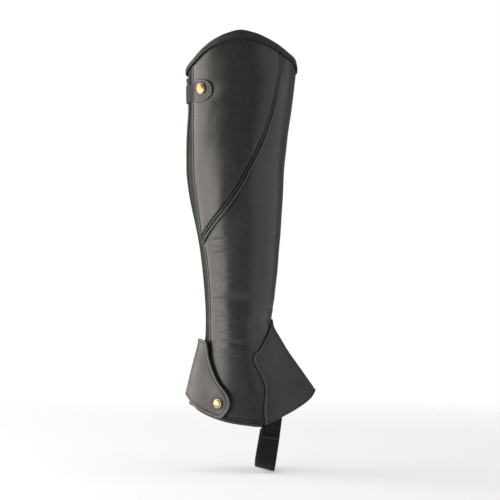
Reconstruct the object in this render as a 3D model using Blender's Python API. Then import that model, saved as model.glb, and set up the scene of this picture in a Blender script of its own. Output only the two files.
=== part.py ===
"""Leather half chap for the right leg, in its worn, filled-out form.

Metres, +Z up, +X toward the toes, -Y on the outer side of the leg. The origin is on the axis of the leg at the
fullest part of the calf. Sizes below are in millimetres and are scaled once, when a mesh is made.

Every piece is laid out on one smooth leg form. A place on the form is (q, z): z is the height, and q is the share
of the half girth measured from the rear line, 0 at the rear, 1 at the front by the outer side, and -1 at the front
by the inner side. A wall lies between two distances d from the form, along its normal.
"""

import math

import bpy
import numpy as np

for old in list(bpy.data.objects):
    bpy.data.objects.remove(old, do_unlink=True)

MM = 0.001
LEATHER = 1.6  # wall of the leather panels, whose outer face is the form itself
GAP = 0.4  # between the pieces at a butted seam
LAP_RISE = 2.1  # how far a lapped edge stands on the panel under it
LAP_UNDER = 5.0  # how far the lower panel runs on under the lapped edge
LAP_FLAT, LAP_RAMP = 13.0, 10.0  # width of the raised edge, and of its slope back to the form
BINDING = 1.4  # thickness of the edge bindings
ELASTIC = 1.4
ZIP_Q = -0.105  # the zip's middle, just round the rear line on the inner side
CHAIN_W, TAPE_W = 6.0, 3.4
SLIDER_Z, PULL_LEN = 31.0, 20.0
SNAP_R, SNAP_H = 6.2, 2.3

# Cross-sections of the leg form. rear and front are where the section crosses the middle plane, half is its half
# width, mid is where it is widest, and n_rear and n_front are 2 for an ellipse and nearer 1 for a wedge.
SECTIONS = [
    # z, rear, front, half, mid, n_rear, n_front
    (-352.0, -52.4, 116.0, 42.0, 15.0, 1.75, 1.30),
    (-314.5, -52.3, 92.0, 40.2, 11.0, 1.75, 1.30),
    (-298.5, -50.3, 80.8, 39.3, 9.0, 1.75, 1.30),
    (-282.5, -46.3, 69.6, 38.3, 6.5, 1.80, 1.32),
    (-266.5, -42.0, 58.2, 37.4, 4.0, 1.85, 1.38),
    (-250.5, -38.6, 46.8, 36.8, 2.0, 1.92, 1.50),
    (-240.9, -37.3, 40.2, 36.6, 0.5, 1.95, 1.65),
    (-232.4, -36.9, 35.0, 36.6, -0.5, 1.98, 1.82),
    (-223.9, -36.8, 33.4, 36.8, -1.0, 2.00, 1.95),
    (-213.2, -37.0, 34.5, 37.0, -1.0, 2.00, 2.00),
    (-191.9, -38.4, 36.8, 38.0, -1.0, 2.00, 2.00),
    (-170.6, -40.4, 39.3, 39.5, -1.0, 2.00, 2.00),
    (-149.2, -43.1, 41.1, 41.5, -1.5, 2.00, 2.00),
    (-127.9, -46.9, 42.9, 44.0, -2.5, 2.00, 1.97),
    (-106.6, -51.4, 43.9, 47.0, -4.0, 2.00, 1.95),
    (-85.3, -55.1, 45.2, 49.5, -5.0, 2.00, 1.94),
    (-64.0, -57.5, 46.8, 51.5, -5.0, 2.00, 1.94),
    (-42.6, -57.7, 49.2, 53.0, -4.0, 2.00, 1.95),
    (-21.3, -56.8, 51.7, 54.0, -2.5, 2.00, 1.96),
    (0.0, -55.4, 54.6, 55.0, -1.5, 2.00, 1.98),
    (26.7, -55.9, 57.6, 56.5, -0.5, 2.00, 2.00),
    (53.3, -56.4, 58.6, 57.5, 0.0, 2.00, 2.00),
    (92.0, -56.6, 58.6, 57.5, 0.0, 2.00, 2.00),
]

# The finished top edge all round: highest over the outer side.
TOP_EDGE = [
    # q, z
    (0.0, 40.5),
    (0.167, 52.2),
    (0.25, 61.4),
    (0.333, 70.3),
    (0.417, 76.8),
    (0.5, 80.2),
    (0.583, 77.4),
    (0.667, 71.8),
    (0.75, 65.2),
    (0.833, 58.5),
    (0.917, 54.2),
    (1.0, 47.0),
    (1.1, 44.0),
    (1.5, 42.6),
    (1.9, 41.0),
    (2.0, 40.5),
]

# Width of the top binding on its outer face, square to the edge.
TRIM_WIDTH = [
    # q, width
    (0.0, 4.0),
    (0.25, 6.6),
    (0.5, 9.0),
    (0.75, 8.0),
    (1.0, 8.2),
    (1.2, 6.0),
    (1.8, 5.0),
    (2.0, 4.0),
]

# The rear edge of the outer leather, beside the elastic strip.
REAR_EDGE = [
    # z, q
    (-352.0, 0.150),
    (-235.0, 0.153),
    (-200.0, 0.164),
    (-140.0, 0.160),
    (-100.0, 0.166),
    (-45.0, 0.164),
    (0.0, 0.138),
    (50.0, 0.140),
]

# Outlines seen square from the outer side.
HEM = [
    # x, z of the finished hem, from near the heel to the toe
    (-48.8, -315.4),
    (-43.9, -319.4),
    (-28.8, -326.3),
    (-11.6, -331.0),
    (5.4, -333.4),
    (22.0, -335.0),
    (28.2, -333.3),
    (35.0, -330.1),
    (44.2, -326.0),
    (68.6, -312.8),
    (76.4, -306.8),
]
HEEL_HEM_Z, TOE_HEM_Z = -312.5, -298.9
CURVED_SEAM = [
    # x, z
    (46.2, 43.9),
    (42.9, 24.5),
    (38.7, 2.7),
    (35.1, -11.0),
    (30.0, -27.0),
    (20.9, -48.2),
    (12.2, -65.0),
    (4.0, -81.5),
    (-5.8, -96.6),
    (-14.4, -108.8),
    (-28.0, -125.8),
]
CURVED_SEAM_END_Z = -143.0
INSTEP_SEAM = [
    # x, z of the instep's edge, below its tip on the front line
    (32.0, -233.3),
    (26.8, -244.0),
    (21.0, -253.8),
    (15.0, -260.2),
    (14.9, -265.9),
    (18.0, -273.0),
    (23.4, -283.6),
    (26.6, -291.6),
    (26.9, -300.0),
    (25.8, -316.0),
]
INSTEP_TIP_Z = -224.4
FRONT_SEAM = [
    # z, q of the seam between the shin and inner panels
    (-223.0, 1.004),
    (-200.0, 1.020),
    (-150.0, 1.050),
    (-60.0, 1.070),
    (60.0, 1.075),
]
HEEL_FLAP_TOP = [
    # x, z of the flap's upper edge on the outer side, from the rear to its round end
    (-42.8, -244.0),
    (-38.4, -244.6),
    (-36.0, -252.0),
    (-34.2, -262.0),
    (-28.8, -277.4),
    (-21.9, -289.6),
    (-15.0, -297.6),
    (-11.4, -303.6),
]
HEEL_FLAP_LOW = [
    # x, z of its lower edge, from near the rear to its round end
    (-55.6, -306.6),
    (-50.0, -313.2),
    (-42.0, -318.2),
    (-34.5, -321.8),
    (-26.0, -325.0),
    (-20.7, -325.9),
    (-16.4, -322.8),
]
HEEL_FLAP_END = [(-11.4, -303.6), (-10.2, -309.0), (-11.8, -316.6), (-16.4, -322.8)]
HEEL_SNAP = (-23.2, -310.6)
TAB = {"rear": -48.0, "low": 5.6, "top": 30.0, "tip": -28.9}
TOP_SNAP = (-40.8, 20.0)
BAND_Z, BAND_ROOT_Q = (6.6, 25.6), -0.31


def smooth(rows):
    """A smooth function through a table's (input, value) rows that doesn't overshoot them."""
    x, y = (np.array(c, float) for c in zip(*rows))
    h = np.diff(x)
    s = np.diff(y) / h
    m = np.concatenate([[s[0]], np.zeros(len(x) - 2), [s[-1]]])
    for i in range(1, len(x) - 1):
        if s[i - 1] * s[i] > 0:
            a, b = 2 * h[i] + h[i - 1], h[i] + 2 * h[i - 1]
            m[i] = (a + b) / (a / s[i - 1] + b / s[i])

    def value(at):
        at = np.clip(np.asarray(at, float), x[0], x[-1])
        i = np.clip(np.searchsorted(x, at) - 1, 0, len(h) - 1)
        t = (at - x[i]) / h[i]
        return (
            y[i] * (1 + 2 * t) * (1 - t) ** 2
            + m[i] * h[i] * t * (1 - t) ** 2
            + y[i + 1] * t * t * (3 - 2 * t)
            - m[i + 1] * h[i] * t * t * (1 - t)
        )

    return value


# The form: a table of points and normals over height and share of the half girth, worked out once.
HEIGHTS = np.arange(SECTIONS[0][0], SECTIONS[-1][0] + 0.5, 1.0)
SHARES = np.linspace(0, 1, 241)


def make_form():
    columns = [smooth([(r[0], r[k]) for r in SECTIONS])(HEIGHTS) for k in range(1, 7)]
    t = np.linspace(0, math.pi, 721)
    points, girth = np.zeros((len(HEIGHTS), len(SHARES), 3)), np.zeros(len(HEIGHTS))
    for i, (rear, front, half, mid, n_rear, n_front) in enumerate(zip(*columns)):
        behind = t <= math.pi / 2
        n = np.where(behind, n_rear, n_front)
        c, s = np.abs(np.cos(t)) ** (2 / n), np.abs(np.sin(t)) ** (2 / n)
        x = np.where(behind, mid - (mid - rear) * c, mid + (front - mid) * c)
        y = -half * s
        along = np.concatenate([[0], np.cumsum(np.hypot(np.diff(x), np.diff(y)))])
        girth[i] = along[-1]
        points[i, :, 0] = np.interp(SHARES * along[-1], along, x)
        points[i, :, 1] = np.interp(SHARES * along[-1], along, y)
        points[i, :, 2] = HEIGHTS[i]
    points[:, [0, -1], 1] = 0
    normals = np.cross(np.gradient(points, axis=1), np.gradient(points, axis=0))
    normals[:, [0, -1], 1] = 0
    normals /= np.linalg.norm(normals, axis=2, keepdims=True)
    return points, normals, girth


POINTS, NORMALS, HALF_GIRTH = make_form()


def girth(z):
    return np.interp(z, HEIGHTS, HALF_GIRTH)


def form(q, z, d=0.0):
    """The point at distance d from the form."""
    q, z, d = np.broadcast_arrays(
        np.asarray(q, float), np.asarray(z, float), np.asarray(d, float)
    )
    q = (q + 1) % 2 - 1
    i = np.clip(z - HEIGHTS[0], 0, len(HEIGHTS) - 1.001)
    j = np.clip(np.abs(q) * (len(SHARES) - 1), 0, len(SHARES) - 1.001)
    a, b = i.astype(int), j.astype(int)
    fa, fb = (i - a)[..., None], (j - b)[..., None]

    def read(table):
        return (
            table[a, b] * (1 - fa) * (1 - fb)
            + table[a + 1, b] * fa * (1 - fb)
            + table[a, b + 1] * (1 - fa) * fb
            + table[a + 1, b + 1] * fa * fb
        )

    p, n = read(POINTS), read(NORMALS)
    n /= np.linalg.norm(n, axis=-1, keepdims=True)
    p = p + n * d[..., None]
    p[..., 1] *= np.where(q < 0, -1, 1)
    return p


def place(x, z, d=0.0):
    """(q, height on the form) of the point that is seen at x, z from the outer side, at distance d."""
    q, low = 0.5, z
    for _ in range(6):
        seen = form(SHARES, low, d)
        q = float(np.interp(x, seen[:, 0], SHARES))
        low = low + z - float(form(q, low, d)[2])
    return q, low


def along(points):
    """A smooth curve through (q, z) points, as a function from 0 to 1."""
    points = np.array(points, float)
    step = np.hypot(np.diff(points[:, 0]) * 150, np.diff(points[:, 1]))
    at = np.concatenate([[0], np.cumsum(step)])
    at /= at[-1]
    q, z = smooth(list(zip(at, points[:, 0]))), smooth(list(zip(at, points[:, 1])))
    return lambda t: np.stack([q(t), z(t)], axis=-1)


def patch(left, right, top, low):
    """A four-sided piece of the form from its edges: left and right run down it, top and low run across it."""

    def at(u, v):
        u, v = (np.asarray(k, float)[..., None] for k in np.broadcast_arrays(u, v))
        a, b, c, e = left(v[..., 0]), right(v[..., 0]), top(u[..., 0]), low(u[..., 0])
        corners = (
            (1 - u) * (1 - v) * left(0.0)
            + u * (1 - v) * right(0.0)
            + (1 - u) * v * left(1.0)
            + u * v * right(1.0)
        )
        return (1 - u) * a + u * b + (1 - v) * c + v * e - corners

    return at


def make(name, points, faces, colour, rough, metal=0.0):
    mesh = bpy.data.meshes.new(name)
    mesh.from_pydata([tuple(p * MM) for p in points], [], [list(map(int, f)) for f in faces])
    mesh.validate()
    material = bpy.data.materials.new(name)
    material.use_nodes = True
    shader = material.node_tree.nodes["Principled BSDF"]
    shader.inputs["Base Color"].default_value = (*colour, 1)
    shader.inputs["Roughness"].default_value = rough
    shader.inputs["Metallic"].default_value = metal
    mesh.materials.append(material)
    obj = bpy.data.objects.new(name, mesh)
    bpy.context.scene.collection.objects.link(obj)
    return obj


def facing_out(points, faces):
    """The faces, turned round if the closed surface is inside out."""
    volume = 0.0
    for f in faces:
        for i in range(1, len(f) - 1):
            volume += np.dot(points[f[0]], np.cross(points[f[i]], points[f[i + 1]]))
    return faces if volume > 0 else [f[::-1] for f in faces]


def wall(name, qz, inner, outer, *looks):
    """A closed wall over a grid of (q, z), between two distances from the form."""
    rows, cols = qz.shape[:2]
    outer = np.broadcast_to(outer, (rows, cols))
    outside = form(qz[..., 0], qz[..., 1], outer)
    inside = form(qz[..., 0], qz[..., 1], inner).reshape(-1, 3)
    # Each cell is split along the diagonal that stays nearer to the form.
    middle = (qz[1:, 1:] + qz[:-1, :-1] + qz[1:, :-1] + qz[:-1, 1:]) / 4
    level = (outer[1:, 1:] + outer[:-1, :-1] + outer[1:, :-1] + outer[:-1, 1:]) / 4
    true = form(middle[..., 0], middle[..., 1], level)
    first = np.linalg.norm((outside[:-1, :-1] + outside[1:, 1:]) / 2 - true, axis=2)
    second = np.linalg.norm((outside[:-1, 1:] + outside[1:, :-1]) / 2 - true, axis=2)
    return sandwich(name, outside.reshape(-1, 3), inside, first <= second, *looks)


def sandwich(name, outside, inside, first_diagonal, *looks):
    rows, cols = (k + 1 for k in first_diagonal.shape)
    n = rows * cols
    at = np.arange(n).reshape(rows, cols)
    faces = []
    for i in range(rows - 1):
        for j in range(cols - 1):
            a, b, c, e = at[i, j], at[i, j + 1], at[i + 1, j + 1], at[i + 1, j]
            halves = ((a, b, c), (a, c, e)) if first_diagonal[i, j] else ((a, b, e), (b, c, e))
            for k in halves:
                faces += [list(k), [k[2] + n, k[1] + n, k[0] + n]]
    rim = (
        [at[0, j] for j in range(cols)]
        + [at[i, cols - 1] for i in range(1, rows)]
        + [at[rows - 1, j] for j in range(cols - 2, -1, -1)]
        + [at[i, 0] for i in range(rows - 2, 0, -1)]
    )
    for a, b in zip(rim, rim[1:] + rim[:1]):
        faces.append([b, a, a + n, b + n])
    points = np.concatenate([outside, inside])
    return make(name, points, facing_out(points, faces), *looks)


def sweep(name, rings, *looks):
    """A closed solid through rings of points, with flat ends."""
    rings = np.array(rings)
    count, k = rings.shape[:2]
    faces = []
    for i in range(count - 1):
        for j in range(k):
            a, b = i * k + j, i * k + (j + 1) % k
            faces.append([a, b, b + k, a + k])
    faces += [list(range(k))[::-1], [(count - 1) * k + j for j in range(k)]]
    points = rings.reshape(-1, 3)
    return make(name, points, facing_out(points, faces), *looks)


def lap(distance):
    """How far a lapped panel is raised at a distance from its edge, as a share."""
    t = np.clip((np.asarray(distance, float) - LAP_FLAT) / LAP_RAMP, 0, 1)
    return 1 - t * t * (3 - 2 * t)


LEATHER_LOOK = ((0.045, 0.043, 0.040), 0.42)
ELASTIC_LOOK = ((0.050, 0.050, 0.048), 0.75)
TRIM_LOOK = ((0.030, 0.029, 0.028), 0.45)
WEB_LOOK = ((0.012, 0.012, 0.012), 0.85)
BRASS_LOOK = ((0.72, 0.55, 0.24), 0.25, 1.0)
STEEL_LOOK = ((0.20, 0.20, 0.20), 0.35, 1.0)

top_z = smooth(TOP_EDGE)
trim_width = smooth(TRIM_WIDTH)
rear_q = smooth(REAR_EDGE)
front_q = smooth(FRONT_SEAM)
hem_places = [place(x, z, 0.8) for x, z in HEM]
hem_z = smooth([(0.0, HEEL_HEM_Z), *hem_places, (1.0, TOE_HEM_Z)])
EDGE_IN = 2.4  # how far a bound edge stays inside its binding


def top_of(q):
    """Upper edge of the panels, inside the top binding."""
    return top_z(np.asarray(q) % 2) - EDGE_IN


def hem_of(q):
    """Lower edge of the panels, inside the hem binding."""
    return hem_z(np.abs((np.asarray(q) + 1) % 2 - 1)) + EDGE_IN


def edge_run(q0, q1, edge):
    """A panel's top or bottom edge between two places, as a function from 0 to 1."""
    return lambda t: np.stack(
        [q0 + (q1 - q0) * np.asarray(t, float), edge(q0 + (q1 - q0) * np.asarray(t, float))],
        axis=-1,
    )


def down(q_at, edge_top, edge_low, n=24):
    """A line down the leg with q given by height, from the top edge to the hem."""
    high, low = 40.0, -330.0
    for _ in range(8):
        high, low = float(edge_top(q_at(high))), float(edge_low(q_at(low)))
    z = np.linspace(high, low, n)
    return along([(float(q_at(k)), k) for k in z])


# ---- seams ----
seam_points = [place(x, z, 1.6) for x, z in CURVED_SEAM]
seam_top_q = place(46.3, 50.0, 0.5)[0]
seam_end = (float(rear_q(CURVED_SEAM_END_Z)), CURVED_SEAM_END_Z)
instep_points = [place(x, z, 1.8) for x, z in INSTEP_SEAM]
instep_low_q = place(24.4, -326.0, 1.0)[0]
instep_corner = (instep_low_q, float(hem_z(instep_low_q)) + 0.6)


def moved(points, mm, limit=None):
    """(q, z) points moved toward the front, or toward the rear for a negative distance."""
    mm = np.broadcast_to(mm, len(points))
    out = [(q + m / girth(z), z) for (q, z), m in zip(points, mm)]
    return out if limit is None else [(min(q, limit - GAP / girth(z)), z) for q, z in out]


# ---- calf panel: its lower front edge is lapped over the shin panel ----
half = GAP / 2
calf_front = along(
    [(seam_top_q, float(top_of(seam_top_q))), *seam_points, (seam_end[0] + 0.012, seam_end[1])]
)
calf_rear = along(
    [
        (float(rear_q(z)) + half / girth(z), z)
        for z in np.linspace(float(top_of(0.14)), seam_end[1] + 0.6, 24)
    ]
)
calf = patch(
    calf_rear,
    calf_front,
    edge_run(float(calf_rear(0.0)[0]), seam_top_q, top_of),
    along([tuple(calf_rear(1.0)), tuple(calf_front(1.0))]),
)
CALF_ROWS = 20
v = np.linspace(0, 1, CALF_ROWS)
grid, rise = [], []
for k in v:
    a, b = calf_rear(k), calf_front(k)
    span = float(abs(b[0] - a[0]) * girth(a[1]))
    far = np.linspace(0, 1, 9)
    if span > 60:
        far = np.concatenate([np.linspace(0, 1 - (LAP_FLAT + LAP_RAMP) / span, 7), [1 - LAP_FLAT / span, 1]])
    distance = (1 - far) * span
    here = calf(far, np.full(9, k))
    # The edge lies flat where the top binding covers it.
    under_trim = np.clip((top_of(here[:, 0]) - here[:, 1] - 12) / 14, 0, 1)
    # It comes down a little where the panel runs out to its point.
    toward_point = 0.9 + 0.1 * min(1.0, span / 30)
    grid.append(here)
    rise.append(lap(distance) * under_trim * toward_point * LAP_RISE)
grid, rise = np.array(grid), np.array(rise)
wall("panel_calf", grid, rise - LEATHER, rise, *LEATHER_LOOK)

# ---- shin panel: front and lower outer side, with an underlay beneath the calf panel and the instep ----
under = LAP_UNDER * np.clip((np.array([40.0 - z for _, z in seam_points])) / 18, 0, 1)
width_left = np.array([(q - seam_end[0]) * girth(z) for q, z in seam_points])
under = np.minimum(under, np.clip(width_left * 0.35, 0, LAP_UNDER))
shin_rear_points = (
    [(seam_top_q + 3 * GAP / girth(50.0), float(top_of(seam_top_q)))]
    + [
        (q + (3 * GAP if u < 0.5 else -u) / girth(z), z)
        for (q, z), u in zip(seam_points, under)
    ]
    + [(seam_end[0] + half / girth(z), z) for z in (seam_end[1] - 1.2,)]
    + [
        (float(rear_q(z)) + half / girth(z), z)
        for z in np.linspace(seam_end[1] - 14, float(hem_of(0.15)), 14)
    ]
)
front_points = [(float(front_q(z)), z) for z in np.linspace(float(top_of(1.075)), INSTEP_TIP_Z + 1, 16)]
shin_front_points = (
    [(q - half / girth(z), z) for q, z in front_points]
    + moved(instep_points, LAP_UNDER, limit=1.0)
    + [(instep_low_q + LAP_UNDER / girth(-330), float(hem_of(instep_low_q + 0.04)))]
)
shin_rear, shin_front = along(shin_rear_points), along(shin_front_points)
shin = patch(
    shin_rear,
    shin_front,
    edge_run(float(shin_rear(0.0)[0]), float(shin_front(0.0)[0]), top_of),
    edge_run(float(shin_rear(1.0)[0]), float(shin_front(1.0)[0]), hem_of),
)
ROWS = 30
# Rows down the panels, closer together where the front turns out over the foot.
PANEL_ROWS = np.concatenate([np.linspace(0, 0.57, 14), np.linspace(0.60, 0.80, 12), np.linspace(0.84, 1, 5)])
u, v = np.meshgrid(np.linspace(0, 1, 13), PANEL_ROWS)
wall("panel_shin", shin(u, v), -LEATHER, 0.0, *LEATHER_LOOK)

# ---- inner panel, from the zip to the front seam ----
TAPE_EDGE = CHAIN_W / 2 + 0.3 + TAPE_W


def beside_zip(mm):
    """q on a line beside the middle of the zip, toward the inner side."""
    return lambda z: ZIP_Q - mm / girth(z)


inner_rear = down(beside_zip(TAPE_EDGE + 0.3), top_of, hem_of)
inner_front = along(
    [(q - 2 + half / girth(z), z) for q, z in front_points]
    + [(-q, z) for q, z in moved(instep_points, LAP_UNDER, limit=1.0)]
    + [(-instep_low_q - LAP_UNDER / girth(-330), float(hem_of(instep_low_q + 0.04)))]
)
inner = patch(
    inner_rear,
    inner_front,
    edge_run(float(inner_rear(0.0)[0]), float(inner_front(0.0)[0]), top_of),
    edge_run(float(inner_rear(1.0)[0]), float(inner_front(1.0)[0]), hem_of),
)
u, v = np.meshgrid(np.linspace(0, 1, 17), PANEL_ROWS)
wall("panel_inner", inner(u, v), -LEATHER, 0.0, *LEATHER_LOOK)

# ---- instep: one piece folded on its centre ridge, its edges lapped over the panels ----
tip = 1 - 3.0 / girth(INSTEP_TIP_Z)
outer_side = along([(tip, INSTEP_TIP_Z), *instep_points, instep_corner])
inner_side = along([(2 - q, z) for q, z in [(tip, INSTEP_TIP_Z), *instep_points, instep_corner]])
low_q = np.linspace(instep_corner[0], 2 - instep_corner[0], 31)
instep = patch(
    outer_side,
    inner_side,
    along([(tip, INSTEP_TIP_Z), (1.0, INSTEP_TIP_Z + 1.5), (2 - tip, INSTEP_TIP_Z)]),
    edge_run(instep_corner[0], 2 - instep_corner[0], lambda q: hem_z(1 - np.abs(1 - q)) + 0.6),
)
grid, rise = [], []
for k in np.concatenate([np.linspace(0, 0.12, 4), np.linspace(0.2, 1, 10)]):
    a, b = outer_side(k), inner_side(k)
    span = float(abs(b[0] - a[0]) * girth(a[1]) / 2)
    side = np.linspace(0, 1, 7)
    if span > 36:
        side = np.concatenate(
            [[0, LAP_FLAT / span], np.linspace((LAP_FLAT + LAP_RAMP) / span, 1, 5)]
        )
    distance = side * span
    across = np.concatenate([side / 2, 1 - side[-2::-1] / 2])
    distance = np.concatenate([distance, distance[-2::-1]])
    grid.append(instep(across, np.full(len(across), k)))
    rise.append(lap(distance) * LAP_RISE)
grid, rise = np.array(grid), np.array(rise)
wall("instep", grid, rise - LEATHER, rise, *LEATHER_LOOK)

# ---- elastic strip and zip ----
STRIP_FACE = -0.5


def strip_outer(z):
    return rear_q(z) - half / girth(z)


def strip_inner(z):
    return ZIP_Q + (TAPE_EDGE + 0.3) / girth(z)


strip_a, strip_b = down(strip_outer, top_of, hem_of), down(strip_inner, top_of, hem_of)
strip = patch(
    strip_a,
    strip_b,
    edge_run(float(strip_a(0.0)[0]), float(strip_b(0.0)[0]), top_of),
    edge_run(float(strip_a(1.0)[0]), float(strip_b(1.0)[0]), hem_of),
)
u, v = np.meshgrid(np.linspace(0, 1, 7), np.linspace(0, 1, ROWS))
wall("stretch_strip", strip(u, v), STRIP_FACE - ELASTIC, STRIP_FACE, *ELASTIC_LOOK)


def ribbon_down(name, from_mm, to_mm, d0, d1, top, low, look):
    """A narrow strip beside the zip's middle, with no columns between its edges."""
    a = down(lambda z: ZIP_Q + from_mm / girth(z), top, low)
    b = down(lambda z: ZIP_Q + to_mm / girth(z), top, low)
    t = np.linspace(0, 1, ROWS)
    wall(name, np.stack([a(t), b(t)], axis=1), d0, d1, *look)


tape_in, tape_out = CHAIN_W / 2 + 0.3, TAPE_EDGE
ribbon_down("zip_tape_outer", tape_in, tape_out, -1.8, -0.7, top_of, hem_of, WEB_LOOK)
ribbon_down("zip_tape_inner", -tape_out, -tape_in, -1.8, -0.7, top_of, hem_of, WEB_LOOK)
CHAIN_FACE = 0.1
ribbon_down(
    "zip_chain",
    -CHAIN_W / 2,
    CHAIN_W / 2,
    -1.7,
    CHAIN_FACE,
    lambda q: np.full(np.shape(q), SLIDER_Z + 4.6),
    lambda q: hem_of(q) + 1.0,
    WEB_LOOK,
)


# ---- bindings: folded over an edge, with a wider leg outside and a narrow one inside ----
def binding(name, qs, edge, sign, width, look):
    """sign is -1 for a binding that hangs down from a top edge, and 1 for one that stands up from the hem."""
    outer_face, outer_back, inner_back, inner_face = 0.5 + BINDING, 0.5, -2.5, -2.5 - BINDING
    rings = []
    slope = np.gradient(edge(qs), qs) / girth(edge(qs))
    for q, z, k in zip(qs, edge(qs), np.hypot(1, slope)):
        w, w_in = float(width(q)) * k, 4.6 * k
        profile = [
            (outer_face, w),
            (outer_face, 1.0),
            (0.7, 0.0),
            (-2.7, 0.0),
            (inner_face, 1.0),
            (inner_face, w_in),
            (inner_back, w_in),
            (inner_back, EDGE_IN - 0.8),
            (outer_back, EDGE_IN - 0.8),
            (outer_back, w),
        ]
        rings.append([form(q, z + sign * h, d) for d, h in profile])
    sweep(name, rings, *look)


trim_gap = 0.5 / float(girth(40.0))
binding(
    "top_trim",
    np.linspace(ZIP_Q + trim_gap, ZIP_Q + 2 - trim_gap, 49),
    lambda q: top_z(np.asarray(q) % 2),
    -1,
    lambda q: trim_width(q % 2),
    TRIM_LOOK,
)
hem_out_from = ZIP_Q + (tape_in + 0.2) / float(girth(-312))
hem_in_from = ZIP_Q - (tape_in + 0.2) / float(girth(-312))
hem_to = place(21.0, -332.0, 1.0)[0]


def hem_round(q):
    return hem_z(np.abs(q))


binding("hem_binding_outer", np.linspace(hem_out_from, hem_to, 18), hem_round, 1, lambda q: 5.8, TRIM_LOOK)
binding("hem_binding_inner", np.linspace(hem_in_from, -hem_to, 16), hem_round, 1, lambda q: 5.8, TRIM_LOOK)


# ---- top tab: an elastic band from the inner side with a leather end ----
def box_patch(q0, q1, z_top, z_low, cols, rows):
    q, z = np.meshgrid(np.linspace(q0, q1, cols), np.linspace(z_top, z_low, rows))
    return np.stack([q, z], axis=-1)


band_q = place(TAB["rear"] - 0.5, 16.0, 1.5)[0]
wall("tab_band", box_patch(BAND_ROOT_Q, band_q, BAND_Z[1], BAND_Z[0], 15, 3), 0.5, 1.7, *ELASTIC_LOOK)

tab_mid, tab_half = (TAB["top"] + TAB["low"]) / 2, (TAB["top"] - TAB["low"]) / 2
grid = []
for k in np.linspace(0, 1, 8):
    # The end is a D: straight edges that close with a half round.
    x = TAB["rear"] + (TAB["tip"] - TAB["rear"]) * (1 - (1 - k) ** 1.6)
    run = (x - TAB["rear"]) / (TAB["tip"] - TAB["rear"])
    h = tab_half * max(0.2, (1 - max(0.0, (run - 0.35) / 0.65) ** 2.3)) ** 0.5
    lean = 0.6 * run
    grid.append([place(x, tab_mid + lean + s * h, 1.5) for s in np.linspace(1, -1, 5)])
wall("tab_end", np.array(grid), 0.6, 2.6, *LEATHER_LOOK)


# ---- heel flap: from the inner side round the heel, standing off it, to a round end on the outer side ----
def flap_stand(q):
    """Distance of the flap's inner face from the form."""
    return smooth([(-0.47, 0.7), (-0.40, 0.9), (-0.2, 3.6), (-0.05, 5.0), (0.08, 5.2), (0.2, 4.4), (0.45, 3.0), (0.7, 2.7)])(q)


def flap_place(x, z):
    q = place(x, z, 6.0)[0]
    for _ in range(4):
        q, low = place(x, z, float(flap_stand(q)) + 1.8)
    return q, low


FLAP = 1.8
ROOT_Q = -0.46
flap_top = along(
    [(ROOT_Q, -262.0), (-0.3, -254.0), (-0.15, -247.0), (0.0, -244.6)] + [flap_place(*p) for p in HEEL_FLAP_TOP]
)
flap_low = along(
    [(ROOT_Q, -299.0), (-0.3, -301.0), (-0.15, -302.6), (0.0, -304.2)] + [flap_place(*p) for p in HEEL_FLAP_LOW]
)
flap = patch(
    along([(ROOT_Q, -262.0), (ROOT_Q, -299.0)]),
    along([flap_place(*p) for p in HEEL_FLAP_END]),
    flap_top,
    flap_low,
)
u, v = np.meshgrid(np.linspace(0, 1, 19), np.linspace(0, 1, 8))
grid = flap(u, v)
stand = flap_stand(grid[..., 0])
wall("heel_flap", grid, stand, stand + FLAP, *LEATHER_LOOK)


# ---- snaps: domed caps ----
def frame_at(q, z, d):
    """A point and the directions along the girth, up the leg and outward."""
    p = form(q, z, d)
    out = form(q, z, d + 1) - p
    side = form(q + 0.01, z, d) - p
    side -= out * np.dot(side, out)
    side /= np.linalg.norm(side)
    return p, side, np.cross(out, side) * (1 if np.cross(out, side)[2] > 0 else -1), out


def dome(name, p, side, up, out):
    profile = [(SNAP_R * 0.96, 0.0), (SNAP_R, 0.45), (SNAP_R * 0.93, 1.1), (SNAP_R * 0.62, 1.9), (SNAP_R * 0.22, SNAP_H)]
    rings = [
        [p + out * h + r * (side * math.cos(a) + up * math.sin(a)) for a in np.arange(16) * math.tau / 16]
        for r, h in profile
    ]
    sweep(name, rings, *BRASS_LOOK)


q, z = place(*TOP_SNAP, 3.0)
dome("snap_top", *frame_at(q, z, 3.1))
q, z = flap_place(*HEEL_SNAP)
dome("snap_heel", *frame_at(q, z, float(flap_stand(q)) + FLAP + 0.6))

# ---- slider with its bridge, and the pull that hangs in it ----
p, side, up, out = frame_at(ZIP_Q, SLIDER_Z, 0.0)


def local(s, u, n):
    return p + side * s + up * u + out * n


PLATE_LOW, PLATE_TOP, ARCH_IN, ARCH_TOP = 0.5, 1.7, 3.7, 4.6
AXIS_U, AXIS_N, ROD_R = 1.6, 2.75, 0.48


def prism(name, outline, n0, n1, *looks):
    """An outline in the (s, u) plane, raised from n0 to n1."""
    return sweep(name, [[local(s, u, n) for s, u in outline] for n in (n0, n1)], *looks)


slider = prism(
    "zip_slider",
    [(-4.2, 4.9), (-2.2, 4.9), (0.0, 4.2), (2.2, 4.9), (4.2, 4.9), (4.4, 1.5), (3.5, -4.4), (2.9, -4.9), (-2.9, -4.9), (-3.5, -4.4), (-4.4, 1.5)],
    PLATE_LOW,
    PLATE_TOP,
    *STEEL_LOOK,
)
arch = sweep(
    "cut_arch",
    [
        [
            local(s, u, n)
            for u, n in [
                (-1.6, PLATE_TOP - 0.5),
                (-1.6, ARCH_IN + 0.2),
                (-0.6, ARCH_TOP),
                (3.2, ARCH_TOP),
                (4.1, ARCH_IN + 0.2),
                (4.1, PLATE_TOP - 0.5),
                (3.1, PLATE_TOP - 0.5),
                (3.1, ARCH_IN),
                (-0.4, ARCH_IN),
                (-0.4, PLATE_TOP - 0.5),
            ]
        ]
        for s in (-0.95, 0.95)
    ],
    *STEEL_LOOK,
)
arch.hide_render = True
arch.display_type = "WIRE"
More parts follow.
